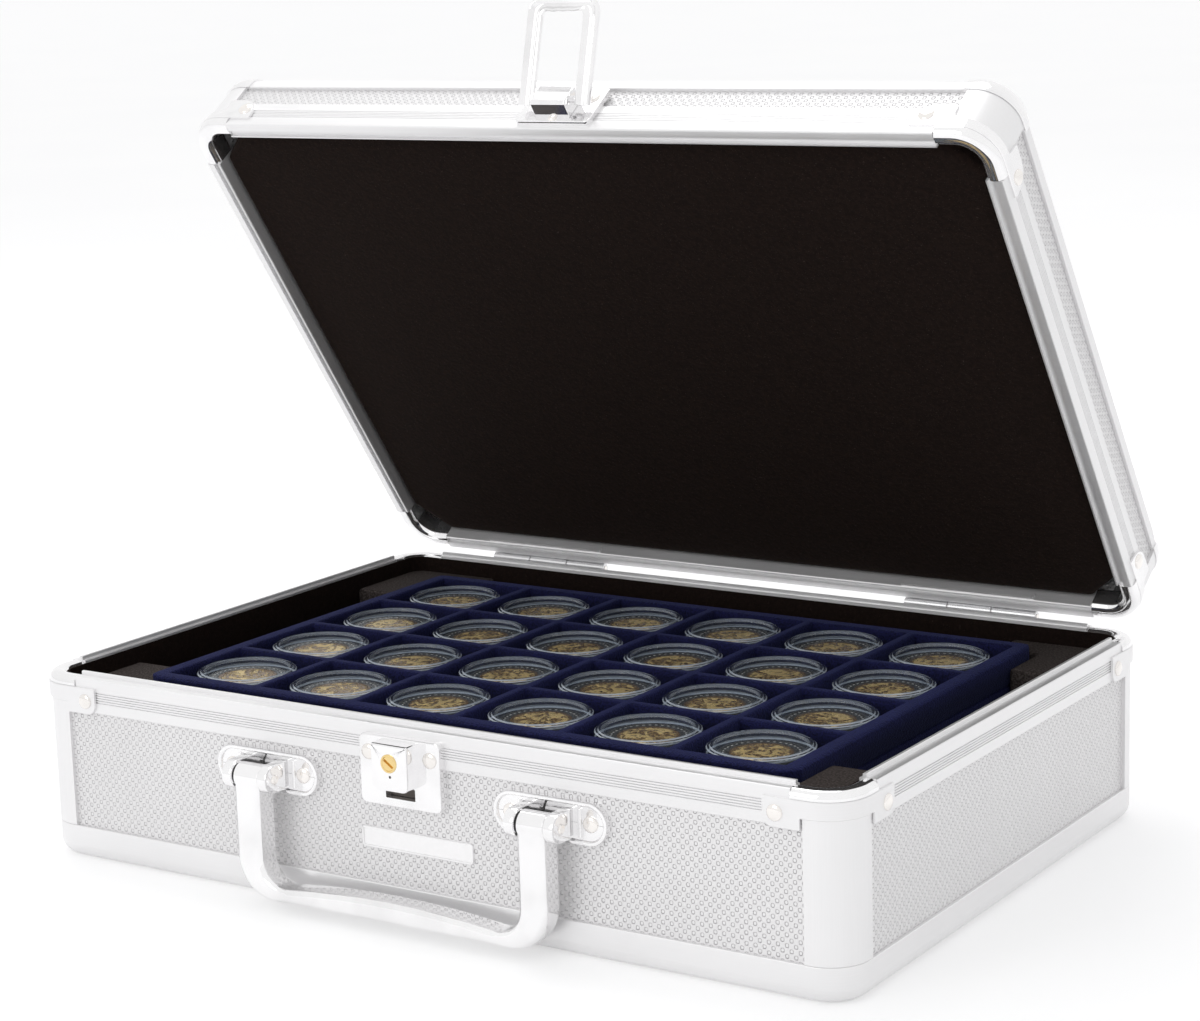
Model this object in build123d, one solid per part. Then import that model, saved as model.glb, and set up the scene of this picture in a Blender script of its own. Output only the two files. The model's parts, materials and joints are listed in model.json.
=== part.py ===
from build123d import *
import math
import os

# A small aluminium-framed case for coins in capsules, drawn with its lid part open.
# Millimetres, +X to the right, +Y to the back, +Z up. The origin is on the floor under
# the middle of the base, and the front, with its lock and handle, faces -Y.
# Wall sections are drawn as (inward from the outer face, up from the floor).

# ---------------------------------------------------------------- driving sizes
# Case
CASE_W = 290.0            # outside width
CASE_D = 200.0            # outside depth
BASE_H = 60.0             # floor to the base's rim
LID_H = 27.0              # lid's rim to its top
CORNER_R = 12.0           # upright corners, outside
RIM_GAP = 0.5             # between the two rims when the case is shut
LID_OPEN = 55.0           # how far open the lid is drawn, degrees
HASP_OPEN = 139.0         # how far the hasp loop is drawn swung up from the lock, degrees

# Wall build-up, from the outer face inward
SKIN = 1.2                # aluminium sections
PANEL_T = 3.5             # laminated side boards
LINING_T = 0.8            # felt
FLAT_T = 3.0              # bottom and top boards

# Aluminium sections
TRIM_H = 11.0             # bottom trim, upright leg
TRIM_R = 5.0              # its round lower edge
TRIM_FLANGE = 11.8        # its leg under the bottom board
EDGE_H = 7.5              # lid's top edge section, upright leg
EDGE_R = 6.0              # its round upper edge
EDGE_FLANGE = 9.0         # its leg over the top board
EDGE_FLATS = 2            # flats that make a round edge
BAND_H = 11.0             # rim section, outer band
LEDGE_T = 2.0             # rim section, flat top
RIM_LEG = 8.0             # rim section, inner leg
TONGUE_W = 1.2            # tongue on the base's rim, which enters the lid's
TONGUE_H = 1.2
TONGUE_IN = 3.2           # outer face to the tongue
TONGUE_FIT = 0.4          # room round the tongue
POST_LEG = 1.6            # corner posts, straight part past the round
PANEL_FIT = 0.2           # board ends to the posts
LIP_LEG = 5.0             # chrome rim corners, straight part past the round
LIP_SKIRT = 3.0           # chrome rim corners, depth on the outer face
LIP_PROUD = 0.5           # chrome rim corners, in front of the outer face

# Corner brackets and rivets
ROUND_SIDES = 8           # sides of rivets, knuckles and bores
BRACKET_T = 0.8
BRACKET_LEG = 25.4        # from the corner along each face
BRACKET_H = 11.5          # base bracket, below the rim
BRACKET_CHAMFER = 2.5
RIVET_R = 2.4
RIVET_DOME = 0.9
RIVET_TAPER = 45.0
RIVET_FROM_CORNER = 21.5
RIVET_BELOW_RIM = 7.3
WING_H = 9.0              # lid bracket, its pointed wings
WING_RISE_X = 2.8         # wing's end to its first point, and that point's height
WING_RISE_H = 6.0
WING_SHOULDER_X = 5.4     # wing's end to its second point, and that point's height
WING_SHOULDER_H = 7.8
WING_POINT_X = 1.0        # wing's top point to the corner's round
WING_NOTCH_X = 2.0        # wing's lower point to the corner's round
WING_NOTCH_H = 1.6        # wing's lower point above the band
WING_BAND = 3.6           # lid bracket, the band round the corner
WING_BAND_LEG = 0.5       # the band, straight part past the round
CAP_LEG = 3.0             # lid's top corner caps, straight part past the round
CAP_PROUD = 0.6

# Inside
PAD_RECESS = 3.0          # lid's rim to the face of its pad
PAD_CHAMFER = 12.0
PAD_FIT = 0.2
PAD_T = 5.0               # pad's soft face and edges, over an empty back
TRAY_COUNT = 6
TRAYS_BELOW_RIM = 2.8     # base's rim to the top of the stack
TRAY_EDGE = 5.8           # outer cells to the tray's sides
TRAY_CHAMFER = 3.5
TRAY_FLOOR = 1.8
CELL_COLUMNS = 6
CELL_ROWS = 4
CELL_FIT = 2.0            # room round a capsule, both sides together
DIVIDER_T = 3.8           # between cells
FOAM_LEG = 36.0           # corner blocks, along each wall
FOAM_BELOW_RIM = 6.0      # base's rim to the top of the corner blocks
FOAM_FIT = 0.5            # corner blocks to the trays

# Capsules and coins
CAPSULE_RIM = 3.125       # coin's edge to the capsule's
CAPSULE_SIDES = 10
COIN_SIDES = 8            # sides of the coins and of their room in the capsules
CAPSULE_FLOOR = 1.6
CAPSULE_LID_T = 2.2
COIN_R = 12.875
COIN_T = 2.2
COIN_FIT = 0.3

# Hinges
HINGE_L = 48.0
HINGE_FROM_SIDE = 61.0    # case's side to the middle of each hinge
HINGE_OUT = 1.9           # case's back to the hinge axis
HINGE_LEAF_T = 1.0
HINGE_LEAF_H = 10.0
HINGE_R = 1.8             # knuckles
HINGE_PIN_R = 0.9
HINGE_FIT = 0.1           # pin in its knuckles
KNUCKLES = 3
KNUCKLE_GAP = 0.3
HINGE_RIVET_R = 1.8
HINGE_RIVET_PITCH = 28.0
HINGE_RIVETS = 2
BACKING_T = 0.8           # strips inside the lid, behind the hinges
BACKING_H = 2.3

# Lock
LOCK_W = 29.0
LOCK_H = 21.0
LOCK_PLATE_T = 1.0
LOCK_PLATE_DEPTH = 2.2    # plate's face in front of the rim band
LOCK_BELOW_RIM = 2.7      # base's rim to the top of the lock plate
LOCK_CHAMFER = 1.6
BOX_W = 13.0
BOX_H = 14.0
BOX_BELOW_RIM = 3.5       # base's rim to the top of the lock's box
BOX_DEPTH = 5.0
BOX_WALL = 1.0
BOX_CHAMFER = 2.0
SLOT_W = 10.6             # slot under the box for the loop's hook
SLOT_H = 2.4
KEY_R = 2.8
KEY_BELOW_RIM = 9.0       # base's rim to the middle of the key plug
KEY_FIT = 0.15
KEY_PROUD = 0.4
KEY_HEAD_T = 1.9
KEYWAY_W = 0.8
KEYWAY_L = 3.8
KEYWAY_DEPTH = 1.2
KEYWAY_TILT = -35.0
CAM_W = 3.0
CAM_L = 5.0
CAM_T = 1.2
LOCK_RIVET_X = 11.0
LOCK_RIVET_BELOW_RIM = 8.0
PLATE_W = 40.0            # bare name plate
PLATE_H = 6.3
PLATE_T = 0.7
PLATE_X = 3.0
PLATE_BELOW_RIM = 35.2    # base's rim to the middle of the name plate

# Hasp, on the lid's front
HASP_W = 27.0
HASP_H = 16.0
HASP_T = 1.6
HASP_UP = 1.5             # lid's rim to the hasp plate
BLOCK_W = 12.5
BLOCK_H = 7.0
BLOCK_DEPTH = 6.0
BLOCK_UP = 4.0            # lid's rim to the hinge block
BLOCK_CHAMFER = 2.6
PIVOT_UP = 8.0            # lid's rim to the loop's axis
PIVOT_OUT = 4.9           # lid's face to the loop's axis
PIVOT_R = 1.1
PIVOT_FIT = 0.2
PIVOT_BITE = 3.5          # pivots inside the block
LOOP_L = 33.0             # axis to the loop's free end
LOOP_W = 25.5
LOOP_T = 2.6
LOOP_BAR = 5.25
LOOP_END = 6.2
LOOP_R = 4.5
LOOP_CHANNEL = 1.0        # wall left by the hollow behind the loop's bars
LOOP_HOOK_W = 8.0
LOOP_HOOK = 0.6
HASP_RIVET_X = 9.6
HASP_RIVET_UP = 13.0
HASP_RIVET_LOW = 2.4

# Handle
HANDLE_X = 51.0           # middle of the case to the middle of each arm
HANDLE_BELOW_RIM = 19.6   # base's rim to the handle's axis
HANDLE_OUT = 7.5          # case's face to the handle's axis
HANDLE_LOW = 3.4          # floor to the underside of the hanging grip
HANDLE_OPEN = 1.0         # window between the arms, above the axis
ARM_W = 9.5
ARM_T = 7.5
GRIP_H = 3.4              # grip's height at its ends
GRIP_ARCH = 3.4           # and how much higher it is in the middle
BARREL_R = 4.0
HANDLE_R = 13.0           # outer bends
HANDLE_INNER_R = 8.0
HANDLE_EDGE = 1.0
PIN_R = 1.5
PIN_FIT = 0.15
MOUNT_L = 38.5
MOUNT_H = 12.7
MOUNT_T = 2.2
MOUNT_RIVET_X = 13.5
EAR_T = 3.4
EAR_R = 4.4
EAR_SIDES = 12
EAR_GAP = 0.3

# ---------------------------------------------------------------- derived sizes
WALL = SKIN + PANEL_T + LINING_T
CORE = SKIN + PANEL_T                     # outer face to the boards' inner face
HALF_W = CASE_W / 2
HALF_D = CASE_D / 2
FRONT = -HALF_D
FLOOR_TOP = SKIN + FLAT_T + LINING_T      # where the lowest tray stands
LID_Z = BASE_H + RIM_GAP                  # lid's rim when shut
LID_TOP = LID_Z + LID_H
HINGE_Y = HALF_D + HINGE_OUT
HINGE_Z = BASE_H + RIM_GAP / 2
LID_AXIS = Axis((0, HINGE_Y, HINGE_Z), (1, 0, 0))
PIVOT_Y = FRONT - PIVOT_OUT
PIVOT_Z = LID_Z + PIVOT_UP
HASP_AXIS = Axis((0, PIVOT_Y, PIVOT_Z), (1, 0, 0))
PANEL_FACE = FRONT + SKIN                 # front board's outer face
HINGE_X = HALF_W - HINGE_FROM_SIDE
LOCK_TOP = BASE_H - LOCK_BELOW_RIM
BOX_TOP = BASE_H - BOX_BELOW_RIM
KEY_Z = BASE_H - KEY_BELOW_RIM
LOCK_RIVET_Z = BASE_H - LOCK_RIVET_BELOW_RIM
PLATE_Z = BASE_H - PLATE_BELOW_RIM
HANDLE_Z = BASE_H - HANDLE_BELOW_RIM
FOAM_TOP = BASE_H - FOAM_BELOW_RIM
TRAY_H = (BASE_H - TRAYS_BELOW_RIM - FLOOR_TOP) / TRAY_COUNT
CAPSULE_R = COIN_R + CAPSULE_RIM
CELL_SIZE = 2 * CAPSULE_R + CELL_FIT
CELL_PITCH = CELL_SIZE + DIVIDER_T
TRAY_W = CELL_COLUMNS * CELL_PITCH - DIVIDER_T + 2 * TRAY_EDGE
TRAY_D = CELL_ROWS * CELL_PITCH - DIVIDER_T + 2 * TRAY_EDGE
TURN = {"front": 0, "right": 90, "back": 180, "left": 270}


# ---------------------------------------------------------------- building blocks
def bar(near, far, low, high):
    """A rectangle of a wall section: inward from near to far, up from low to high."""
    return Pos((near + far) / 2, (low + high) / 2) * Rectangle(far - near, high - low)


def block(x0, x1, y0, y1, z0, z1):
    """A box between two opposite corners."""
    middle = Pos((x0 + x1) / 2, (y0 + y1) / 2, (z0 + z1) / 2)
    return middle * Box(x1 - x0, y1 - y0, z1 - z0)


def span(side):
    """The case's width along a side, and half its width across."""
    return (CASE_W, HALF_D) if side in ("front", "back") else (CASE_D, HALF_W)


def along_wall(section, side, setback):
    """A wall section drawn along one side, stopping short of both corners."""
    length = span(side)[0] - 2 * setback
    start = Plane(origin=(-length / 2, -span(side)[1], 0), x_dir=(0, 1, 0), z_dir=(1, 0, 0))
    return Rot(0, 0, TURN[side]) * extrude(start * section, length)


def round_corner(section, leg=0.0):
    """A wall section swept round the front right corner, with a leg along each wall."""
    x, y = HALF_W - CORNER_R, CORNER_R - HALF_D
    on_front = Plane(origin=(x, -HALF_D, 0), x_dir=(0, 1, 0), z_dir=(1, 0, 0)) * section
    on_side = Plane(origin=(HALF_W, y, 0), x_dir=(-1, 0, 0), z_dir=(0, 1, 0)) * section
    corner = revolve(on_front, Axis((x, y, 0), (0, 0, 1)), 90)
    if leg:
        corner += extrude(on_front, -leg)
        corner += extrude(on_side, leg)
    return corner


def four_corners(corner):
    """A front right corner piece, with its copies at the other three corners."""
    pair = [corner, mirror(corner, Plane.YZ)]
    return pair + [mirror(piece, Plane.XZ) for piece in pair]


def four_walls(section, setback):
    """A wall section along all four sides."""
    return [along_wall(section, side, setback) for side in TURN]


def inset_box(inward, low, high):
    """A box inside the case, its sides a given way inward from the outer faces."""
    return block(inward - HALF_W, HALF_W - inward, inward - HALF_D, HALF_D - inward, low, high)


def facing_front(sketch, face, depth):
    """A sketch in (x, height) at the plane y = face, extruded forward by depth."""
    return extrude(Plane(origin=(0, face, 0), x_dir=(1, 0, 0), z_dir=(0, -1, 0)) * sketch, depth)


def cylinder_x(radius, length, x, y, z):
    """A cylinder lying along X about the point (x, y, z)."""
    return Pos(x, y, z) * Rot(0, 90, 0) * Cylinder(radius, length)


def prism_x(radius, length, x, y, z, within=True, sides=ROUND_SIDES):
    """A bar lying along X with a few flats, within a circle or, for a bore, round it."""
    start = Plane(origin=(x - length / 2, y, z), z_dir=(1, 0, 0))
    return extrude(start * RegularPolygon(radius, sides, major_radius=within), length)


def bore_x(radius, length, x, y, z):
    """A cutter for a bore along X that clears a pin of the given radius."""
    return prism_x(radius, length, x, y, z, within=False)


def rivet(radius=RIVET_R, dome=RIVET_DOME):
    """A rivet head on the plane z = 0, with a few flat sides and a flat top."""
    return extrude(RegularPolygon(radius, ROUND_SIDES), dome, taper=RIVET_TAPER)


def rivet_on_wall(side, along, height, face_out, radius=RIVET_R, dome=RIVET_DOME):
    """A rivet head on a side wall, on a plane face_out in front of the outer face."""
    seat = Pos(along, -span(side)[1] - face_out, height) * Rot(90, 0, 0)
    return Rot(0, 0, TURN[side]) * (seat * rivet(radius, dome))


def opened(shape):
    """A lid piece, drawn shut, turned to where the open lid holds it."""
    return shape.rotate(LID_AXIS, -LID_OPEN)


def solids_of(shapes):
    """All solids of some shapes, in one list."""
    return [solid for shape in shapes for solid in shape.solids()]


def write(name, *shapes):
    """Writes one node: its solids as one STEP file."""
    solids = solids_of(shapes)
    node = solids[0] if len(solids) == 1 else Compound(children=solids)
    export_step(node, f"parts/{name}.step")


# ---------------------------------------------------------------- sections
def round_edge(leg, width, radius, proud=0.0):
    """A filled section, up from z = 0, whose outer lower edge is round, in a few flats."""
    turns = [math.radians(90 * i / EDGE_FLATS) for i in range(EDGE_FLATS + 1)]
    reach = radius + proud
    edge = [(radius - reach * math.cos(turn), radius - reach * math.sin(turn)) for turn in turns]
    return make_face(Polyline((-proud, leg), *edge, (width, -proud), (width, leg), close=True))


def elbow_section(leg, flange, radius):
    """A trim's section, up from z = 0: legs round the side and bottom boards."""
    section = round_edge(leg, flange, radius) - bar(CORE, flange, SKIN, leg)
    return section - bar(SKIN, CORE, radius, leg)


def corner_elbow(leg, flange, radius, reach, proud=0.0):
    """A trim's corner piece, up from z = 0: round outside and square inside."""
    corner = round_corner(round_edge(leg, CORNER_R, radius, proud), reach)
    corner -= inset_box(CORE, SKIN, leg)
    corner -= inset_box(flange, -proud, SKIN)
    board = bar(SKIN, CORE, radius, leg)
    return corner - along_wall(board, "front", CORNER_R) - along_wall(board, "right", CORNER_R)


def between(rim, up, near, far):
    """Two heights at given distances from a rim, lowest first."""
    return sorted((rim + up * near, rim + up * far))


def rim_channel(rim, up):
    """A rim's channel over the boards' edge: ledge, outer band and inner leg."""
    section = bar(0, SKIN, *between(rim, up, 0, BAND_H)) + bar(0, WALL, *between(rim, up, 0, LEDGE_T))
    return section + bar(CORE, WALL, *between(rim, up, 0, RIM_LEG))


def base_rim_section():
    """The base's rims, with their tongue."""
    tongue = bar(TONGUE_IN, TONGUE_IN + TONGUE_W, BASE_H, BASE_H + TONGUE_H)
    return rim_channel(BASE_H, -1) + tongue


def lid_rim_section():
    """The lid's rims, with the groove that takes the tongue."""
    deep = TONGUE_H - RIM_GAP + TONGUE_FIT
    groove = bar(TONGUE_IN - TONGUE_FIT, TONGUE_IN + TONGUE_W + TONGUE_FIT, LID_Z, LID_Z + deep)
    return rim_channel(LID_Z, 1) - groove


def rim_corner(rim, up):
    """A rim's chrome corner: a round skirt under a ledge, and a square inner leg."""
    skirt = round_corner(bar(-LIP_PROUD, SKIN, *between(rim, up, 0, LIP_SKIRT)), LIP_LEG)
    ledge = between(rim, up, 0, LEDGE_T)
    plate = round_corner(bar(-LIP_PROUD, CORNER_R, *ledge), LIP_LEG) - inset_box(WALL, *ledge)
    deep = between(rim, up, 0, RIM_LEG)
    inner = inset_box(CORE, *deep) - inset_box(WALL, *deep)
    reach = CORNER_R + LIP_LEG
    return skirt + plate + (inner & block(HALF_W - reach, HALF_W, -HALF_D, reach - HALF_D, *deep))


def corner_post(low, high):
    """A corner post: a round skin with legs over the boards, filled to a square inner corner."""
    core = round_corner(bar(0, CORNER_R, low, high)) - inset_box(CORE, low, high)
    return round_corner(bar(0, SKIN, low, high), POST_LEG) + core


# ---------------------------------------------------------------- base
def make_base_shell():
    """Boards, posts, trims, rims, brackets, rivets and the lining of the base."""
    board = bar(SKIN, CORE, TRIM_R, BASE_H - LEDGE_T)
    for side in TURN:
        write(f"base_panel_{side}", along_wall(board, side, CORNER_R + PANEL_FIT))
    bottom = inset_box(CORE, SKIN, SKIN + FLAT_T) + inset_box(TRIM_FLANGE + PANEL_FIT, 0, SKIN)
    write("base_bottom_panel", bottom)
    write("base_corner_posts", *four_corners(corner_post(TRIM_H, BASE_H - LIP_SKIRT)))

    trim = elbow_section(TRIM_H, TRIM_FLANGE, TRIM_R)
    write("base_bottom_trims", *four_walls(trim, CORNER_R + POST_LEG))
    write("base_bottom_corners", *four_corners(corner_elbow(TRIM_H, TRIM_FLANGE, TRIM_R, POST_LEG)))

    write("base_rims", *four_walls(base_rim_section(), CORNER_R + LIP_LEG))
    write("base_rim_corners", *four_corners(rim_corner(BASE_H, -1)))

    low, high = BASE_H - BRACKET_H, BASE_H - LIP_SKIRT
    bracket = round_corner(bar(-BRACKET_T, 0, low, high), BRACKET_LEG - CORNER_R)
    ends = bracket.edges().filter_by(lambda e: is_leg_end(e, low))
    write("base_corner_brackets", *four_corners(chamfer(ends, BRACKET_CHAMFER)))

    along = HALF_W - RIVET_FROM_CORNER, HALF_D - RIVET_FROM_CORNER
    height = BASE_H - RIVET_BELOW_RIM
    heads = [
        rivet_on_wall(side, way * along[side in ("left", "right")], height, BRACKET_T)
        for side in TURN
        for way in (-1, 1)
    ]
    write("base_rivets", *heads)

    write("base_lining_floor", inset_box(CORE, SKIN + FLAT_T, FLOOR_TOP))
    high = BASE_H - RIM_LEG
    write("base_lining_walls", inset_box(CORE, FLOOR_TOP, high) - inset_box(WALL, FLOOR_TOP, high))


def is_leg_end(edge, low):
    """Whether an edge is a short lower one at the end of a bracket's leg."""
    middle = edge.center()
    from_corner = max(HALF_W - middle.X, middle.Y + HALF_D)
    return edge.length < 2 * BRACKET_T and abs(middle.Z - low) < 0.01 and from_corner > CORNER_R + 1


def make_foam_blocks():
    """Foam blocks round each corner, in pairs that make an L and hold the trays."""
    x, y = HALF_W - WALL, HALF_D - WALL
    tray_x, tray_y = TRAY_W / 2 + FOAM_FIT, TRAY_D / 2 + FOAM_FIT
    long_leg = block(x - FOAM_LEG, x, -y, -tray_y, FLOOR_TOP, FOAM_TOP)
    short_leg = block(tray_x, x, -tray_y, FOAM_LEG - y, FLOOR_TOP, FOAM_TOP)
    write("foam_corner_blocks", *four_corners(long_leg), *four_corners(short_leg))


# ---------------------------------------------------------------- lid
def make_lid_shell():
    """Boards, posts, edges, rims, brackets, rivets and the pad of the lid."""
    board = bar(SKIN, CORE, LID_Z + LEDGE_T, LID_TOP - EDGE_R)
    for side in TURN:
        write(f"lid_panel_{side}", opened(along_wall(board, side, CORNER_R + PANEL_FIT)))
    write("lid_top_panel", opened(inset_box(CORE, LID_TOP - SKIN - FLAT_T, LID_TOP - SKIN)))
    posts = four_corners(corner_post(LID_Z + LIP_SKIRT, LID_TOP - EDGE_H))
    write("lid_corner_posts", *map(opened, posts))

    edge = Pos(0, LID_TOP) * mirror(elbow_section(EDGE_H, EDGE_FLANGE, EDGE_R), Plane.XZ)
    write("lid_edges", *map(opened, four_walls(edge, CORNER_R + CAP_LEG)))
    cap = mirror(corner_elbow(EDGE_H, EDGE_FLANGE, EDGE_R, CAP_LEG, CAP_PROUD), Plane.XY)
    write("lid_corner_caps", *map(opened, four_corners(Pos(0, 0, LID_TOP) * cap)))

    write("lid_rims", *map(opened, four_walls(lid_rim_section(), CORNER_R + LIP_LEG)))
    write("lid_rim_corners", *map(opened, four_corners(rim_corner(LID_Z, 1))))

    write("lid_corner_brackets", *map(opened, four_corners(winged_bracket())))
    along = HALF_W - RIVET_FROM_CORNER, HALF_D - RIVET_FROM_CORNER
    height = LID_Z + RIVET_BELOW_RIM
    heads = [
        rivet_on_wall(side, way * along[side in ("left", "right")], height, BRACKET_T)
        for side in TURN
        for way in (-1, 1)
    ]
    write("lid_rivets", *map(opened, heads))

    inside = 2 * (WALL + PAD_FIT)
    outline = chamfer(Rectangle(CASE_W - inside, CASE_D - inside).vertices(), PAD_CHAMFER)
    low, high = LID_Z + PAD_RECESS, LID_TOP - SKIN - FLAT_T
    pad = Pos(0, 0, low) * extrude(outline, high - low)
    pad -= Pos(0, 0, low + PAD_T) * extrude(offset(outline, -PAD_T), high - low)
    write("lid_pad", opened(pad))


def winged_bracket():
    """A lid corner bracket: a band round the corner with a pointed wing on each face."""
    low = LID_Z + LIP_SKIRT
    ring = round_corner(bar(-BRACKET_T, 0, low, low + WING_BAND), WING_BAND_LEG)
    tip, notch = HALF_W - BRACKET_LEG, HALF_W - CORNER_R
    outline = Polyline(
        (tip, low),
        (tip + WING_RISE_X, low + WING_RISE_H),
        (tip + WING_SHOULDER_X, low + WING_SHOULDER_H),
        (notch - WING_POINT_X, low + WING_H),
        (notch - WING_NOTCH_X, low + WING_BAND + WING_NOTCH_H),
        (notch, low + WING_BAND),
        (notch, low),
        close=True,
    )
    wing = facing_front(make_face(outline), FRONT, BRACKET_T)
    return ring + wing + side_wing(wing)


def side_wing(wing):
    """The wing that mirrors a front one across the upright corner."""
    diagonal = Plane(origin=(HALF_W, -HALF_D, 0), x_dir=(0, 0, 1), z_dir=(1, 1, 0))
    return mirror(wing, diagonal)


# ---------------------------------------------------------------- hinges
def knuckle_spans(first):
    """The (start, end) of every other knuckle along a hinge, from its middle."""
    pitch = HINGE_L / KNUCKLES
    for i in range(first, KNUCKLES, 2):
        yield i * pitch - HINGE_L / 2, (i + 1) * pitch - HINGE_L / 2 - KNUCKLE_GAP


def hinge_leaf(x, up, first):
    """One leaf on the case's back, below (up = -1) or above (up = 1) the axis."""
    back = HALF_D, HALF_D + HINGE_LEAF_T
    clear = HINGE_R + KNUCKLE_GAP
    leaf = block(x - HINGE_L / 2, x + HINGE_L / 2, *back, *between(HINGE_Z, up, clear, HINGE_LEAF_H))
    for start, end in knuckle_spans(first):
        leaf += prism_x(HINGE_R, end - start, x + (start + end) / 2, HINGE_Y, HINGE_Z)
        leaf += block(x + start, x + end, *back, *between(HINGE_Z, up, 0, clear))
    return leaf - bore_x(HINGE_PIN_R + HINGE_FIT, 2 * HINGE_L, x, HINGE_Y, HINGE_Z)


def hinge_rivets(up):
    """Rivet heads along the leaves of both hinges."""
    for x in (-HINGE_X, HINGE_X):
        for i in range(HINGE_RIVETS):
            along = -x + (i - (HINGE_RIVETS - 1) / 2) * HINGE_RIVET_PITCH
            height = HINGE_Z + up * (HINGE_LEAF_H + HINGE_R + KNUCKLE_GAP) / 2
            yield rivet_on_wall("back", along, height, HINGE_LEAF_T, HINGE_RIVET_R, RIVET_DOME)


def make_hinges():
    """Two knuckle hinges between the back rims."""
    places = (-HINGE_X, HINGE_X)
    write("hinge_leaves_base", *[hinge_leaf(x, -1, 0) for x in places])
    write("hinge_leaves_lid", *[opened(hinge_leaf(x, 1, 1)) for x in places])
    pins = [cylinder_x(HINGE_PIN_R, HINGE_L, x, HINGE_Y, HINGE_Z) for x in places]
    write("hinge_pins", *pins)
    write("hinge_rivets_base", *hinge_rivets(-1))
    write("hinge_rivets_lid", *map(opened, hinge_rivets(1)))
    low = LID_Z + PAD_RECESS - BACKING_H - 0.2
    inner = HALF_D - WALL
    strips = [
        block(x - HINGE_L / 2, x + HINGE_L / 2, inner - BACKING_T, inner, low, low + BACKING_H)
        for x in places
    ]
    write("hinge_backing_strips", *map(opened, strips))


# ---------------------------------------------------------------- lock and name plate
def make_lock():
    """Lock plate, box, key plug with its cam, and the rivets."""
    middle = Pos(0, LOCK_TOP - LOCK_H / 2)
    face = FRONT - LOCK_PLATE_DEPTH
    outline = middle * Rectangle(LOCK_W, LOCK_H)
    outline = chamfer(outline.vertices(), LOCK_CHAMFER)
    hollow = middle * Rectangle(LOCK_W - 2 * LOCK_PLATE_T, LOCK_H - 2 * LOCK_PLATE_T)
    plate = facing_front(outline, PANEL_FACE, LOCK_PLATE_DEPTH + SKIN)
    plate -= facing_front(hollow, PANEL_FACE, LOCK_PLATE_DEPTH + SKIN - LOCK_PLATE_T)
    band_low = BASE_H - BAND_H
    plate -= block(-LOCK_W, LOCK_W, FRONT, PANEL_FACE, band_low, BASE_H)
    slot_z = BOX_TOP - BOX_H - SLOT_H / 2
    plate -= facing_front(Pos(0, slot_z) * Rectangle(SLOT_W, SLOT_H), FRONT, LOCK_PLATE_DEPTH)
    write("lock_plate", plate)

    box_z = BOX_TOP - BOX_H / 2
    outline = Pos(0, box_z) * Rectangle(BOX_W, BOX_H)
    outline = chamfer(outline.vertices().sort_by(Axis.Y)[:2], BOX_CHAMFER)
    box = facing_front(outline, face, BOX_DEPTH)
    hollow = Pos(0, box_z) * Rectangle(BOX_W - 2 * BOX_WALL, BOX_H - 2 * BOX_WALL)
    box -= facing_front(hollow, face, BOX_DEPTH - BOX_WALL)
    bore = Pos(0, KEY_Z) * RegularPolygon(KEY_R + KEY_FIT, ROUND_SIDES, major_radius=False)
    box -= facing_front(bore, face, BOX_DEPTH)
    write("lock_box", box)

    key_face = face - BOX_DEPTH - KEY_PROUD
    key_back = key_face + KEY_HEAD_T + KEY_PROUD
    plug = facing_front(Pos(0, KEY_Z) * Circle(KEY_R), key_back, KEY_HEAD_T + KEY_PROUD)
    keyway = Pos(0, KEY_Z) * Rot(0, 0, KEYWAY_TILT) * Rectangle(KEYWAY_L, KEYWAY_W)
    plug -= facing_front(keyway, key_face + KEYWAY_DEPTH, KEYWAY_DEPTH)
    write("key_plug", plug)
    cam = Pos(0, KEY_Z + CAM_L / 2 - CAM_W / 2) * Rectangle(CAM_W, CAM_L)
    cam = chamfer(cam.vertices(), CAM_W / 4)
    write("lock_cam", facing_front(cam, key_back + CAM_T, CAM_T))

    heads = [
        rivet_on_wall("front", way * LOCK_RIVET_X, LOCK_RIVET_Z, LOCK_PLATE_DEPTH) for way in (-1, 1)
    ]
    write("lock_rivets", *heads)
    plate = Pos(PLATE_X, PLATE_Z) * Rectangle(PLATE_W, PLATE_H)
    write("name_plate", facing_front(plate, PANEL_FACE, PLATE_T))


# ---------------------------------------------------------------- hasp
def make_hasp():
    """Plate, hinge block and swinging loop on the lid's front."""
    plate = Pos(0, LID_Z + HASP_UP + HASP_H / 2) * Rectangle(HASP_W, HASP_H)
    low_corners = plate.vertices().sort_by(Axis.Y)[:2]
    plate = facing_front(chamfer(low_corners, HASP_T), FRONT, HASP_T)
    write("hasp_plate", opened(plate))

    low = LID_Z + BLOCK_UP
    out = FRONT - HASP_T
    shape = block(-BLOCK_W / 2, BLOCK_W / 2, out - BLOCK_DEPTH, out, low, low + BLOCK_H)
    front_edge = shape.edges().filter_by(Axis.X).group_by(Axis.Z)[0].sort_by(Axis.Y)[0]
    shape = chamfer(front_edge, BLOCK_CHAMFER)
    shape -= bore_x(PIVOT_R + PIVOT_FIT, 2 * BLOCK_W, 0, PIVOT_Y, PIVOT_Z)
    write("hasp_block", opened(shape))

    heads = [
        rivet_on_wall("front", way * HASP_RIVET_X, LID_Z + HASP_RIVET_UP, HASP_T) for way in (-1, 1)
    ]
    heads.append(rivet_on_wall("front", 0, LID_Z + HASP_RIVET_LOW, HASP_T, HASP_RIVET_LOW - HASP_UP))
    write("hasp_rivets", *map(opened, heads))
    write("hasp_loop", opened(hasp_loop().rotate(HASP_AXIS, -HASP_OPEN)))


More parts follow.
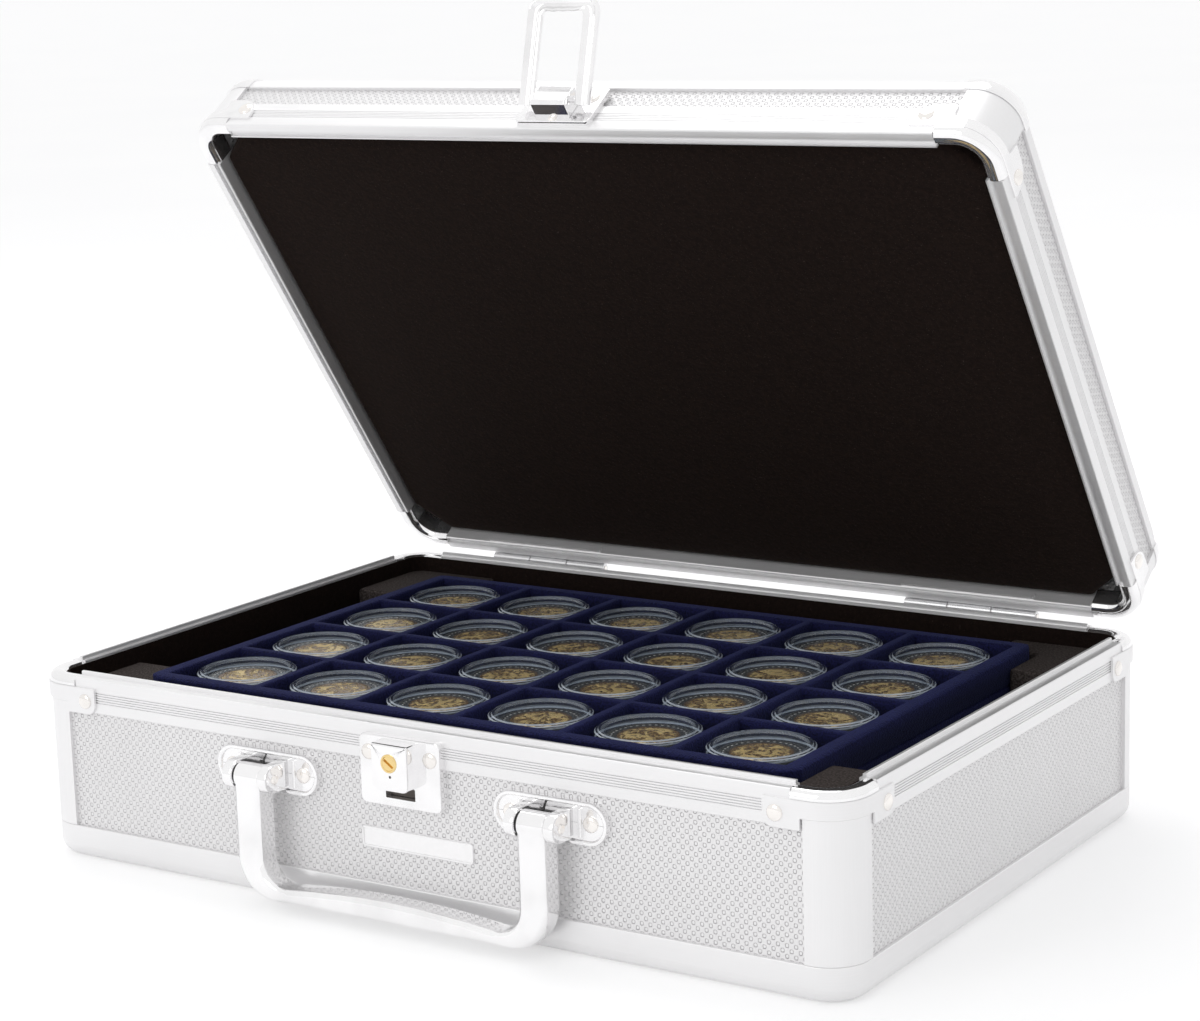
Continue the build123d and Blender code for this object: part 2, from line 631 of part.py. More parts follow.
def hasp_loop():
    """The loop, drawn hanging over the lock: a pressed frame with inward pivots."""
    back = PIVOT_Y + LOOP_T / 2
    low = PIVOT_Z - LOOP_L
    top = PIVOT_Z + LOOP_T
    outline = Pos(0, (low + top) / 2) * Rectangle(LOOP_W, top - low)
    outline = fillet(outline.vertices().sort_by(Axis.Y)[:2], LOOP_R)
    window_low = low + LOOP_END
    window = Pos(0, (window_low + top) / 2) * Rectangle(LOOP_W - 2 * LOOP_BAR, top - window_low)
    window = chamfer(window.vertices().sort_by(Axis.Y)[:2], LOOP_CHANNEL)
    loop = facing_front(outline - window, back, LOOP_T)
    hollow_low = low + LOOP_CHANNEL
    hollow_high = PIVOT_Z - LOOP_T
    hollow = Pos(0, (hollow_low + hollow_high) / 2)
    hollow *= Rectangle(LOOP_W - 2 * LOOP_CHANNEL, hollow_high - hollow_low)
    inner_low = window_low - LOOP_CHANNEL
    core = Pos(0, (inner_low + top) / 2)
    core *= Rectangle(LOOP_W - 2 * LOOP_BAR + 2 * LOOP_CHANNEL, top - inner_low)
    loop -= facing_front(hollow - core, back, LOOP_T - LOOP_CHANNEL)
    hook = Pos(0, window_low + LOOP_HOOK / 2) * Rectangle(LOOP_HOOK_W, LOOP_HOOK)
    loop += facing_front(hook, back, LOOP_CHANNEL)
    inside = LOOP_W / 2 - LOOP_BAR
    for way in (-1, 1):
        length = inside - BLOCK_W / 2 + PIVOT_BITE
        loop += cylinder_x(PIVOT_R, length, way * (inside - length / 2), PIVOT_Y, PIVOT_Z)
    return loop


# ---------------------------------------------------------------- handle
def make_handle():
    """The hanging handle, its two mounts, pins and rivets."""
    axis_y = FRONT - HANDLE_OUT
    low = HANDLE_LOW
    outer_x = HANDLE_X + ARM_W / 2
    inner_x = HANDLE_X - ARM_W / 2
    outline = Pos(0, (low + HANDLE_Z) / 2) * Rectangle(2 * outer_x, HANDLE_Z - low)
    outline = fillet(outline.vertices().sort_by(Axis.Y)[:2], HANDLE_R)
    grip = low + GRIP_H
    arch = ThreePointArc((-inner_x, grip), (0, grip + GRIP_ARCH), (inner_x, grip))
    top = HANDLE_Z + HANDLE_OPEN
    sides = Polyline((inner_x, grip), (inner_x, top), (-inner_x, top), (-inner_x, grip))
    window = make_face(arch + sides)
    window = fillet(window.vertices().sort_by(Axis.Y)[:2], HANDLE_INNER_R)
    bail = facing_front(outline - window, axis_y + ARM_T / 2, ARM_T)
    front_edges = bail.edges().filter_by(lambda e: abs(e.center().Y - axis_y + ARM_T / 2) < 0.01)
    front_edges = front_edges.filter_by(lambda e: e.center().Z < HANDLE_Z - 0.01)
    bail = chamfer(front_edges, HANDLE_EDGE)
    for x in (-HANDLE_X, HANDLE_X):
        bail += cylinder_x(BARREL_R, ARM_W, x, axis_y, HANDLE_Z)
        bail -= bore_x(PIN_R + PIN_FIT, 2 * ARM_W, x, axis_y, HANDLE_Z)
    write("handle", bail)

    for side, x in (("left", -HANDLE_X), ("right", HANDLE_X)):
        write(f"handle_mount_{side}", Pos(x, 0, 0) * handle_mount(axis_y))
    length = ARM_W + 2 * (EAR_GAP + EAR_T) + 1
    pins = [prism_x(PIN_R, length, x, axis_y, HANDLE_Z) for x in (-HANDLE_X, HANDLE_X)]
    write("handle_pins", *pins)
    heads = [
        rivet_on_wall("front", x + way * MOUNT_RIVET_X, HANDLE_Z, MOUNT_T - SKIN)
        for x in (-HANDLE_X, HANDLE_X)
        for way in (-1, 1)
    ]
    write("handle_mount_rivets", *heads)


def handle_mount(axis_y):
    """A cast mount about x = 0: a stadium plate with two ears."""
    plate = facing_front(Pos(0, HANDLE_Z) * SlotOverall(MOUNT_L, MOUNT_H), PANEL_FACE, MOUNT_T)
    face = PANEL_FACE - MOUNT_T
    inside = ARM_W / 2 + EAR_GAP
    outside = inside + EAR_T
    for x0, x1 in ((-outside, -inside), (inside, outside)):
        plate += block(x0, x1, axis_y, face, HANDLE_Z - EAR_R, HANDLE_Z + EAR_R)
        plate += prism_x(EAR_R, EAR_T, (x0 + x1) / 2, axis_y, HANDLE_Z, sides=EAR_SIDES)
    return plate - bore_x(PIN_R + PIN_FIT, 3 * MOUNT_L, 0, axis_y, HANDLE_Z)


# ---------------------------------------------------------------- trays and coins
def cell_places():
    """The middle of each cell of a tray."""
    return GridLocations(CELL_PITCH, CELL_PITCH, CELL_COLUMNS, CELL_ROWS)


def make_trays():
    """The stack of trays, each a floor, four sides, long strips and the dividers between them."""
    outline = Rectangle(TRAY_W, TRAY_D)
    outline = chamfer(outline.vertices(), TRAY_CHAMFER)
    wall_h = TRAY_H - TRAY_FLOOR
    x = TRAY_W / 2 - TRAY_EDGE
    y = TRAY_D / 2 - TRAY_EDGE
    frame = Pos(0, 0, TRAY_FLOOR) * extrude(outline, wall_h)
    side = frame & block(x, TRAY_W, -TRAY_D, TRAY_D, 0, TRAY_H)
    front = frame & block(-x, x, -TRAY_D, -y, 0, TRAY_H)
    pieces = [extrude(outline, TRAY_FLOOR), side, mirror(side, Plane.YZ)]
    pieces += [front, mirror(front, Plane.XZ)]

    middle = Pos(0, 0, TRAY_FLOOR + wall_h / 2)
    strip = middle * Box(2 * x, DIVIDER_T, wall_h)
    divider = middle * Box(DIVIDER_T, CELL_SIZE, wall_h)
    pieces += [place * strip for place in GridLocations(0, CELL_PITCH, 1, CELL_ROWS - 1)]
    columns = GridLocations(CELL_PITCH, CELL_PITCH, CELL_COLUMNS - 1, CELL_ROWS)
    pieces += [place * divider for place in columns]
    for i in range(TRAY_COUNT):
        lift = Pos(0, 0, FLOOR_TOP + i * TRAY_H)
        write(f"tray_{i + 1}", *[lift * piece for piece in pieces])


def make_capsules():
    """Two-part capsules with their coins, one in each cell of the top tray."""
    floor = FLOOR_TOP + (TRAY_COUNT - 1) * TRAY_H + TRAY_FLOOR
    pocket = COIN_T + COIN_FIT
    disc = RegularPolygon(CAPSULE_R, CAPSULE_SIDES)
    room = RegularPolygon(COIN_R + COIN_FIT, COIN_SIDES)
    coin = RegularPolygon(COIN_R, COIN_SIDES)
    cup = extrude(disc, CAPSULE_FLOOR + pocket) - Pos(0, 0, CAPSULE_FLOOR) * extrude(room, pocket)
    pieces = {
        "capsule_bases": Pos(0, 0, floor) * cup,
        "coins": Pos(0, 0, floor + CAPSULE_FLOOR) * extrude(coin, COIN_T),
        "capsule_lids": Pos(0, 0, floor + CAPSULE_FLOOR + pocket) * extrude(disc, CAPSULE_LID_T),
    }
    for name, piece in pieces.items():
        write(name, *[place * piece for place in cell_places()])


os.makedirs("parts", exist_ok=True)
make_base_shell()
make_foam_blocks()
make_lid_shell()
make_hinges()
make_lock()
make_hasp()
make_handle()
make_trays()
make_capsules()
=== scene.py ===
import bpy
import bmesh
import json
import math
from mathutils import Matrix, Vector


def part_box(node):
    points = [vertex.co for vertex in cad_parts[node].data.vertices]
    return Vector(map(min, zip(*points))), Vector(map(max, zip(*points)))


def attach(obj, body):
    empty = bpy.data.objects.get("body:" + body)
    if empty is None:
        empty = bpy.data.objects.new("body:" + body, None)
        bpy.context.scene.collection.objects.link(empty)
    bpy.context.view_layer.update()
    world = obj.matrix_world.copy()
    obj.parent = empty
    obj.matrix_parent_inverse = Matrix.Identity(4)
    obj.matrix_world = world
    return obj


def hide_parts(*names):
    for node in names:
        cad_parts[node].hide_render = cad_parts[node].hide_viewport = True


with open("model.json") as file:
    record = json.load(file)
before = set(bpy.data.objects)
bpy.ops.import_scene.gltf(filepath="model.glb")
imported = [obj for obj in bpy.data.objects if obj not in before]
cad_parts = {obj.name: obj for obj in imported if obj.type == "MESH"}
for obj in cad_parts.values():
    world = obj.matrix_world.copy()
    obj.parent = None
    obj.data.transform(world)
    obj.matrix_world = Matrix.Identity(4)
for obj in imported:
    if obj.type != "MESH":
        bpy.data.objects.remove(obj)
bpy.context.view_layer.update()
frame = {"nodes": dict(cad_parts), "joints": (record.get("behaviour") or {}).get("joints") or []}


# Camera. A long lens stands in front of the case, to its right and a little above it,
# and looks down at the lock side with the lid thrown open behind.
camera_data = bpy.data.cameras.new("camera")
camera_data.lens = 84.5
camera_data.sensor_width = 36.0
camera = bpy.data.objects.new("camera", camera_data)
camera.location = (0.48005, -0.72442, 0.28031)
camera.rotation_euler = [math.radians(turn) for turn in (78.608, 1.706, 32.912)]
bpy.context.collection.objects.link(camera)
bpy.context.scene.camera = camera


# Table. A wide matt white table stands under the case. It takes the case's soft shadow
# and runs out to plain white on every side.
class Wire:
    """A socket in a material, for finishes written as plain sums of numbers and wires."""

    def __init__(self, tree, socket=None):
        self.tree = tree
        self.socket = socket

    def node(self, kind, settings, sockets, out=0):
        """Adds a node: its type, its settings first, then the values or wires of its sockets."""
        made = self.tree.nodes.new("ShaderNode" + kind)
        for name, value in settings.items():
            setattr(made, name, value)
        for name, value in sockets.items():
            if isinstance(value, Wire):
                self.tree.links.new(value.socket, made.inputs[name])
            else:
                made.inputs[name].default_value = value
        return Wire(self.tree, made.outputs[out])

    def maths(self, operation, *others):
        return self.node("Math", {"operation": operation}, dict(enumerate((self, *others))))

    def __add__(self, other):
        return self.maths("ADD", other)

    def __sub__(self, other):
        return self.maths("SUBTRACT", other)

    def __mul__(self, other):
        return self.maths("MULTIPLY", other)

    def __rsub__(self, other):
        return self.maths("MULTIPLY_ADD", -1, other)

    __radd__ = __add__
    __rmul__ = __mul__

    def over(self, low, high):
        """0 below low and 1 above high, with a smooth rise between them."""
        limits = {"Value": self, "From Min": low, "From Max": high}
        return self.node("MapRange", {"interpolation_type": "SMOOTHSTEP"}, limits)

    def mix(self, below, above):
        """One colour or wire where this is 0, and another where it is 1."""
        ends = [end if isinstance(end, Wire) else (*end, 1) for end in (below, above)]
        return self.node("Mix", {"data_type": "RGBA"}, {0: self, 6: ends[0], 7: ends[1]}, out=2)

    def here(self):
        """The place on the piece, in metres, as it was before anything moved."""
        return self.node("TexCoord", {}, {}, out="Object")

    def toward(self, direction, place=None):
        """How far a place lies along a direction, in metres."""
        ends = {0: place or self.here(), 1: tuple(direction)}
        return self.node("VectorMath", {"operation": "DOT_PRODUCT"}, ends, out="Value")

    def noise(self, scale, detail=2.0, stretch=(1, 1, 1)):
        place = self.node("VectorMath", {"operation": "MULTIPLY"}, {0: self.here(), 1: stretch})
        return self.node("TexNoise", {}, {"Vector": place, "Scale": scale, "Detail": detail})

    def bump(self, depth, strength=1.0):
        """A relief as deep as this wire's value times a depth in metres."""
        return self.node("Bump", {}, {"Height": self, "Distance": depth, "Strength": strength})


def finish(name, recipe, fixed):
    """A material: the recipe wires what varies over it, and the rest are plain numbers."""
    material = bpy.data.materials.new(name)
    material.use_nodes = True
    tree = material.node_tree
    shader = tree.nodes["Principled BSDF"]
    for socket, value in fixed.items():
        shader.inputs[socket].default_value = value
    for socket, wire in recipe(Wire(tree)).items():
        tree.links.new(wire.socket, shader.inputs[socket])
    return material


def pale_rays(start):
    """1 for what the camera sees, straight or in metal or glass, and 0 for light on the case."""
    seen = start.node("LightPath", {}, {}, out="Is Camera Ray")
    mirrored = start.node("LightPath", {}, {}, out="Is Glossy Ray")
    through = start.node("LightPath", {}, {}, out="Is Transmission Ray")
    return (seen + mirrored + through).maths("MINIMUM", 1.0)


def table_white(start):
    cloud = start.noise(3.0).over(0.3, 0.7)
    return {
        "Base Color": cloud.mix((0.84, 0.84, 0.845), (0.86, 0.86, 0.86)),
        "Emission Color": pale_rays(start).mix((0, 0, 0), (0.3, 0.3, 0.3)),
    }


half_table = 40.0
table_mesh = bpy.data.meshes.new("table")
corner_ways = ((-1, -1), (1, -1), (1, 1), (-1, 1))
table_corners = [(x * half_table, y * half_table, 0) for x, y in corner_ways]
table_mesh.from_pydata(table_corners, [], [(0, 1, 2, 3)])
table_fixed = {"Roughness": 0.9, "Emission Strength": 1.0}
table_mesh.materials.append(finish("table_white", table_white, table_fixed))
table = bpy.data.objects.new("table", table_mesh)
bpy.context.collection.objects.link(table)


# Light. A wide softbox hangs over the case, a little behind it, and a fainter one stands
# to the front left. The room round them is white, and gives a little less light from the right.
def add_softbox(name, place, width, watts, aim):
    data = bpy.data.lights.new(name, "AREA")
    data.size = width
    data.energy = watts
    lamp = bpy.data.objects.new(name, data)
    lamp.location = place
    lamp.rotation_euler = (Vector(aim) - Vector(place)).to_track_quat("-Z", "Y").to_euler()
    bpy.context.collection.objects.link(lamp)


add_softbox("top_softbox", (-0.35, 0.45, 1.5), 0.9, 5.0, (0, 0, 0.05))
add_softbox("front_softbox", (-0.35, -1.55, 0.8), 0.9, 3.2, (0, 0, 0.1))
world = bpy.data.worlds.new("studio")
bpy.context.scene.world = world
world.use_nodes = True
room = Wire(world.node_tree)
way = room.node("TexCoord", {}, {}, out="Generated")
soft = room.toward((1, 0, 0), way).over(0.1, 0.9).mix((0.78, 0.78, 0.785), (0.64, 0.64, 0.645))
backdrop = world.node_tree.nodes["Background"]
shown = pale_rays(room).mix(soft, (1, 1, 1))
world.node_tree.links.new(shown.socket, backdrop.inputs["Color"])
bpy.context.scene.view_settings.view_transform = "Standard"


# Boards. Hardboard under a silver film that is pressed all over with small raised diamonds
# in staggered rows. Each board slides into the aluminium sections round it.
hinge = next(joint for joint in frame["joints"] if joint["name"] == "lid_hinge")
lid_turn = Matrix.Rotation(math.radians(hinge["range_deg"][0]), 3, "X")
dot_pitch = 0.00279
row_pitch = 0.00152


def silver_film(along, up):
    def recipe(start):
        columns = (start.toward(along) * (math.tau / dot_pitch)).maths("COSINE")
        rows = (start.toward(up) * (math.pi / row_pitch)).maths("COSINE")
        dots = (columns * rows).over(0.05, 0.75)
        # Painted light: each dot's edge is painted darker as painted shade, and its top lighter as a
        # painted highlight.
        edges = dots * (1 - dots) * 4
        shade = start.noise(9.0).over(0.35, 0.65).mix((0.86, 0.85, 0.855), (0.9, 0.89, 0.895))
        fleck = start.noise(4000.0, 1.0).over(0.3, 0.7)
        raised = (dots * 0.8).mix(shade, (0.95, 0.945, 0.95))
        return {
            "Base Color": (edges * 0.5).mix(raised, (0.45, 0.44, 0.445)),
            "Roughness": 0.3 + fleck * 0.08 + dots * 0.06,
            "Normal": (dots + fleck * 0.04).bump(0.00038, 0.9),
        }

    return recipe


for half, turn, flat_board in (("base", Matrix.Identity(3), "bottom"), ("lid", lid_turn, "top")):
    board_sets = [
        ((1, 0, 0), (0, 0, 1), ("panel_front", "panel_back")),
        ((0, 1, 0), (0, 0, 1), ("panel_left", "panel_right")),
        ((1, 0, 0), (0, 1, 0), (f"{flat_board}_panel",)),
    ]
    for along, up, endings in board_sets:
        recipe = silver_film(turn @ Vector(along), turn @ Vector(up))
        film = finish(f"silver_film_{half}_{endings[0]}", recipe, {"Metallic": 0.25})
        for ending in endings:
            board = frame["nodes"][f"{half}_{ending}"].data
            board.materials.clear()
            board.materials.append(film)


# Aluminium sections of the base. Satin extrusions run along the bottom edges and the rim,
# whose outer band has five fine grooves, and a rounded post closes each upright corner.
half_w, half_d = [1000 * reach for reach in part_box("base_bottom_corners")[1][:2]]
rim_top = 1000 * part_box("base_rim_corners")[1].z
corner_r = 12.0
skin = 1.2
core = 4.7
wall = 5.5
trim_h = 11.0
rim_band = 11.0
ledge = 2.0
inner_leg = 8.0
lip_leg = 5.0
lip_skirt = 3.0
post_leg = 1.6
rim_gap = 0.1
turn_of = {"front": 0, "right": 90, "back": 180, "left": 270}


def rounded(corners, radius, steps=4):
    """A flat outline in millimetres, its corners rounded by one radius or each by its own."""
    radii = radius if isinstance(radius, (list, tuple)) else [radius] * len(corners)
    outline = []
    for i, r in enumerate(radii):
        corner = Vector(corners[i])
        if not r:
            outline.append(corner)
            continue
        back = (Vector(corners[i - 1]) - corner).normalized()
        ahead = (Vector(corners[(i + 1) % len(corners)]) - corner).normalized()
        half = back.angle(ahead) / 2
        start = corner + back * (r / math.tan(half))
        end = corner + ahead * (r / math.tan(half))
        middle = corner + (back + ahead).normalized() * (r / math.sin(half))
        for k in range(steps + 1):
            spoke = (start - middle).lerp(end - middle, k / steps)
            outline.append(middle + spoke.normalized() * r)
    return outline


def swept(rings, closed=False):
    """A skin over a row of rings with as many points each, with flat ends unless closed."""
    count = len(rings[0])
    points = [Vector(point) for ring in rings for point in ring]
    faces = []
    for a in range(len(rings) if closed else len(rings) - 1):
        b = (a + 1) % len(rings)
        for j in range(count):
            k = (j + 1) % count
            faces.append((a * count + j, a * count + k, b * count + k, b * count + j))
    if not closed:
        faces.append(tuple(range(count)))
        faces.append(tuple((len(rings) - 1) * count + j for j in range(count)))
    return points, faces


def moved(shell, by):
    return [by @ point for point in shell[0]], shell[1]


def along_wall(section, side, setback):
    """A wall section, as (inward, up), along one side, short of both corners."""
    half, reach = (half_w, half_d) if side in ("front", "back") else (half_d, half_w)
    turn = Matrix.Rotation(math.radians(turn_of[side]), 3, "Z")
    return swept([
        [turn @ Vector((end, inward - reach, up)) for inward, up in section]
        for end in (setback - half, half - setback)
    ])


def four_walls(section, setback):
    return [along_wall(section, side, setback) for side in turn_of]


def corner_ring(section, dx, dy, degrees):
    """A section, as (outward, up), at one turn round the front right corner."""
    out = Vector((math.cos(math.radians(degrees)), math.sin(math.radians(degrees)), 0))
    middle = Vector((half_w - corner_r + dx, corner_r - half_d + dy, 0))
    return [middle + out * (corner_r + proud) + Vector((0, 0, up)) for proud, up in section]


def round_corner(section, leg, steps=12):
    """A wall section swept round the front right corner, with a leg along each wall."""
    stations = [(-leg, 0, -90)]
    stations += [(0, 0, 90 * i / steps - 90) for i in range(steps + 1)] + [(0, leg, 0)]
    return swept([
        corner_ring([(-inward, up) for inward, up in section], dx, dy, degrees)
        for dx, dy, degrees in stations
    ])


def four_corners(shell):
    """A front right corner piece and its copies at the other corners."""
    return [moved(shell, Matrix.Diagonal((x, y, 1))) for x in (1, -1) for y in (1, -1)]


def piece(name, body, shells, material, nodes=(), crease=38):
    """Joins shells, drawn in millimetres, in one object on a body, standing for its CAD nodes."""
    form = bmesh.new()
    for points, faces in shells:
        corners = [form.verts.new(point * 0.001) for point in points]
        for face in faces:
            form.faces.new([corners[i] for i in face])
    bmesh.ops.recalc_face_normals(form, faces=form.faces)
    for face in form.faces:
        face.smooth = True
    for edge in form.edges:
        edge.smooth = edge.calc_face_angle(0.0) < math.radians(crease)
    mesh = bpy.data.meshes.new(name)
    form.to_mesh(mesh)
    form.free()
    mesh.materials.append(material)
    made = bpy.data.objects.new(name, mesh)
    bpy.context.collection.objects.link(made)
    weights = made.modifiers.new("flat_faces", "WEIGHTED_NORMAL")
    weights.keep_sharp = True
    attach(made, body)
    if nodes:
        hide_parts(*nodes)
    return made


def satin_metal(tone, stretch, rough=0.36):
    """Satin metal with fine streaks, drawn out along the ways that stretch leaves small."""
    def recipe(start):
        streaks = start.noise(1.0, 3.0, stretch).over(0.3, 0.7)
        smudge = start.noise(35.0, 3.0).over(0.35, 0.7)
        dim = tuple(0.96 * c for c in tone)
        return {
            "Base Color": (streaks * 0.5 + smudge * 0.5).mix(dim, tone),
            "Roughness": rough + streaks * 0.04 + smudge * 0.05,
            "Normal": streaks.bump(0.00001, 0.12),
        }

    return recipe


def trim_section(leg, flange, radius, proud=0.0):
    """An elbow, up from its flange at 0, round outside and stepped inside for the boards."""
    corners = [(-proud, leg), (-proud, -proud), (flange, -proud), (flange, skin)]
    corners += [(core, skin), (core, radius), (skin, radius), (skin, leg)]
    return rounded(corners, [0.3, radius + proud, 0.3, 0, 0, 0, 0, 0.2], 7)


def rim_section(rim, up, tongue):
    """A channel over the boards' edge, grooved outside, with a tongue or its groove on top."""
    lowest_groove, groove_pitch, groove_w, groove_depth = 7.4, 0.77, 0.44, 0.42
    outline = [(0.2, rim_band), (0, rim_band - 0.2)]
    for i in range(5):
        middle = lowest_groove - i * groove_pitch
        outline += [(0, middle + groove_w / 2), (groove_depth, middle + groove_w / 5)]
        outline += [(groove_depth, middle - groove_w / 5), (0, middle - groove_w / 2)]
    outline += [(0, 0.6), (0.18, 0.18), (0.6, 0)]
    if tongue:
        outline += [(3.2, 0), (3.2, -1.0), (3.4, -1.2), (4.2, -1.2), (4.4, -1.0), (4.4, 0)]
    else:
        outline += [(2.8, 0), (2.8, 1.1), (4.8, 1.1), (4.8, 0)]
    outline += [(wall - 0.3, 0), (wall, 0.3), (wall, inner_leg), (core, inner_leg)]
    outline += [(core, ledge), (skin, ledge), (skin, rim_band)]
    return [(inward, rim + up * height) for inward, height in outline]


def post_section(low, high):
    return rounded([(0, low), (skin, low), (skin, high), (0, high)], 0.3, 2)


aluminium = (0.9, 0.895, 0.9)
lengthways = finish("satin_extrusion", satin_metal(aluminium, (60.0, 60.0, 6000.0)), {"Metallic": 0.65})
upright = finish("satin_post", satin_metal(aluminium, (6000.0, 6000.0, 60.0)), {"Metallic": 0.65})
bottom_trim = trim_section(trim_h, 11.8, 5.0)
trims = four_walls(bottom_trim, corner_r + post_leg)
piece("bottom_trims", "base", trims, lengthways, ["base_bottom_trims"])
bottom_corners = four_corners(round_corner(bottom_trim, post_leg))
piece("bottom_corners", "base", bottom_corners, lengthways, ["base_bottom_corners"])
base_rims = four_walls(rim_section(rim_top, -1, True), corner_r + lip_leg + rim_gap)
piece("base_rim_sections", "base", base_rims, lengthways, ["base_rims"], crease=30)
base_posts = four_corners(round_corner(post_section(trim_h, rim_top - lip_skirt), post_leg))
piece("base_posts", "base", base_posts, upright, ["base_corner_posts"])


# Corners of the base's rim. A pressed chrome lip covers each corner of the rim, and a satin
# band under it wraps the post, with a tab and a domed rivet on each face.
def bright_metal(tone, rough):
    def recipe(start):
        smear = start.noise(60.0, 4.0).over(0.4, 0.75)
        dust = start.noise(900.0).over(0.55, 0.8)
        dim = tuple(0.9 * c for c in tone)
        return {
            "Base Color": smear.mix(tone, dim),
            "Roughness": rough + smear * 0.05 + dust * 0.03,
            "Normal": smear.bump(0.00002, 0.15),
        }

    return recipe


chrome = finish("chrome_plate", bright_metal((0.92, 0.915, 0.92), 0.06), {"Metallic": 0.94})
nickel = finish("nickel_rivet", bright_metal((0.9, 0.87, 0.84), 0.1), {"Metallic": 1.0})
band_t = 0.8
band_reach = 25.4 - corner_r
rivet_r = 2.4
rivet_dome = 0.9
rivet_from_corner = 21.5
rivet_from_rim = 7.3


def lip_section(rim, up):
    """A pressed lip, rounder than the rim that it covers, and a hair proud of it."""
    corners = [(-0.5, lip_skirt), (-0.5, 0), (wall, 0), (wall, inner_leg), (core, inner_leg)]
    corners += [(core, ledge), (skin, ledge), (skin, lip_skirt)]
    outline = rounded(corners, [0.2, 2.4, 2.6, 0.2, 0, 0, 0, 0.2], 7)
    return [(inward, rim + up * height) for inward, height in outline]


def turned(profile, spokes=28):
    """A round form about the z axis, from (radius, height) points."""
    turns = [math.tau * i / spokes for i in range(spokes)]
    return swept([[Vector((r * math.cos(a), r * math.sin(a), z)) for a in turns] for r, z in profile])


def rivet(radius=rivet_r, dome=rivet_dome):
    """A domed rivet head on the plane z = 0, with a short upright edge."""
    rise = [0.25 + 0.2 * i for i in range(6)] + [1.45]
    profile = [(radius, -0.2), (radius, 0.15 * dome)]
    profile += [(radius * math.cos(a), dome * (0.15 + 0.85 * math.sin(a))) for a in rise]
    return turned(profile)


stood_up = Matrix.Rotation(math.radians(90), 4, "X")


def on_wall(side, along, height, out):
    """Stands a form drawn on the plane z = 0 on a wall, with its z axis outward."""
    reach = half_d if side in ("front", "back") else half_w
    turn = Matrix.Rotation(math.radians(turn_of[side]), 4, "Z")
    return turn @ Matrix.Translation((along, -reach - out, height)) @ stood_up


def rivets(places, height, out, *size, side="front"):
    """A row of rivets at one height on a wall."""
    return [moved(rivet(*size), on_wall(side, along, height, out)) for along in places]


def corner_rivets(height):
    """Two rivets at each corner of the case, one on each face."""
    halves = {"front": half_w, "back": half_w, "left": half_d, "right": half_d}
    return [
        moved(rivet(), on_wall(side, way * (half - rivet_from_corner), height, band_t))
        for side, half in halves.items()
        for way in (-1, 1)
    ]


def corner_band(edges):
    """A thin band round the corner, from (way from its tip, lower edge, upper edge) stations."""
    rings = []
    across = [(0, 0, 9 * i - 90, *edges[-1][1:]) for i in range(1, 10)]
    stations = [(tip - band_reach, 0, -90, low, high) for tip, low, high in edges] + across
    stations += [(0, band_reach - tip, 0, low, high) for tip, low, high in reversed(edges)]
    for dx, dy, degrees, low, high in stations:
        ease = min(0.25, (high - low) / 4)
        ring = [(0, low), (band_t - 0.25, low), (band_t, low + ease)]
        ring += [(band_t, high - ease), (band_t - 0.25, high), (0, high)]
        rings.append(corner_ring(ring, dx, dy, degrees))
    return swept(rings)


base_lips = four_corners(round_corner(lip_section(rim_top, -1), lip_leg))
piece("base_lip_corners", "base", base_lips, chrome, ["base_rim_corners"])
tab_low, tab_high, tab_r = rim_top - 11.5, rim_top - lip_skirt, 3.0
tab_edges = [
    (tip, tab_low + tab_r - math.sqrt(tab_r**2 - (tab_r - tip) ** 2), tab_high)
    for tip in (0, 0.1, 0.35, 0.8, 1.4, 2.1, 3.0)
]
notch_w, notch_h = 0.5, 3.4
notch = band_reach - post_leg
tab_edges += [(notch - notch_w, tab_low, tab_high), (notch - 0.4, tab_low + 0.2, tab_high)]
tab_edges += [(notch - 0.35, tab_low + notch_h, tab_high), (notch, tab_low + notch_h, tab_high)]
tab_edges += [(band_reach, tab_low + notch_h, tab_high)]
base_tabs = four_corners(corner_band(tab_edges))
piece("base_corner_tabs", "base", base_tabs, lengthways, ["base_corner_brackets"])
base_rivets = corner_rivets(rim_top - rivet_from_rim)
piece("base_corner_rivets", "base", base_rivets, nickel, ["base_rivets"])


# Lid shell. The same sections turned over, drawn shut and then thrown open about the hinge:
# satin rims, posts and top edges, with chrome lips, caps and winged brackets at the corners.
lid_rim = rim_top + 0.5
lid_top = lid_rim + 27.0
cap_leg, cap_proud = 3.0, 0.45
edge_h, edge_flange, edge_r = 7.5, 9.0, 6.0
hinge_at = Vector(hinge["pos_m"]) * 1000
lid_opening = Matrix.Translation(hinge_at) @ lid_turn.to_4x4() @ Matrix.Translation(-hinge_at)


def opened(shells):
    """Lid forms drawn shut, turned to where the open lid holds them."""
    return [moved(shell, lid_opening) for shell in shells]


def from_top(section):
    """A trim section turned over and hung from the lid's top."""
    return [(inward, lid_top - up) for inward, up in section]


lid_metal = satin_metal(aluminium, (60.0, 3000.0, 3000.0))
lid_along = finish("satin_lid_extrusion", lid_metal, {"Metallic": 0.65})
lid_edges = four_walls(from_top(trim_section(edge_h, edge_flange, edge_r)), corner_r + cap_leg)
piece("lid_top_edges", "lid", opened(lid_edges), lid_along, ["lid_edges"])
lid_rims = four_walls(rim_section(lid_rim, 1, False), corner_r + lip_leg + rim_gap)
piece("lid_rim_sections", "lid", opened(lid_rims), lid_along, ["lid_rims"], crease=30)
lid_posts = four_corners(round_corner(post_section(lid_rim + lip_skirt, lid_top - edge_h), post_leg))
piece("lid_posts", "lid", opened(lid_posts), lid_along, ["lid_corner_posts"])
lid_lips = four_corners(round_corner(lip_section(lid_rim, 1), lip_leg))
piece("lid_lip_corners", "lid", opened(lid_lips), chrome, ["lid_rim_corners"])
cap_section = from_top(trim_section(edge_h, edge_flange, edge_r, cap_proud))
caps = four_corners(round_corner(cap_section, cap_leg))
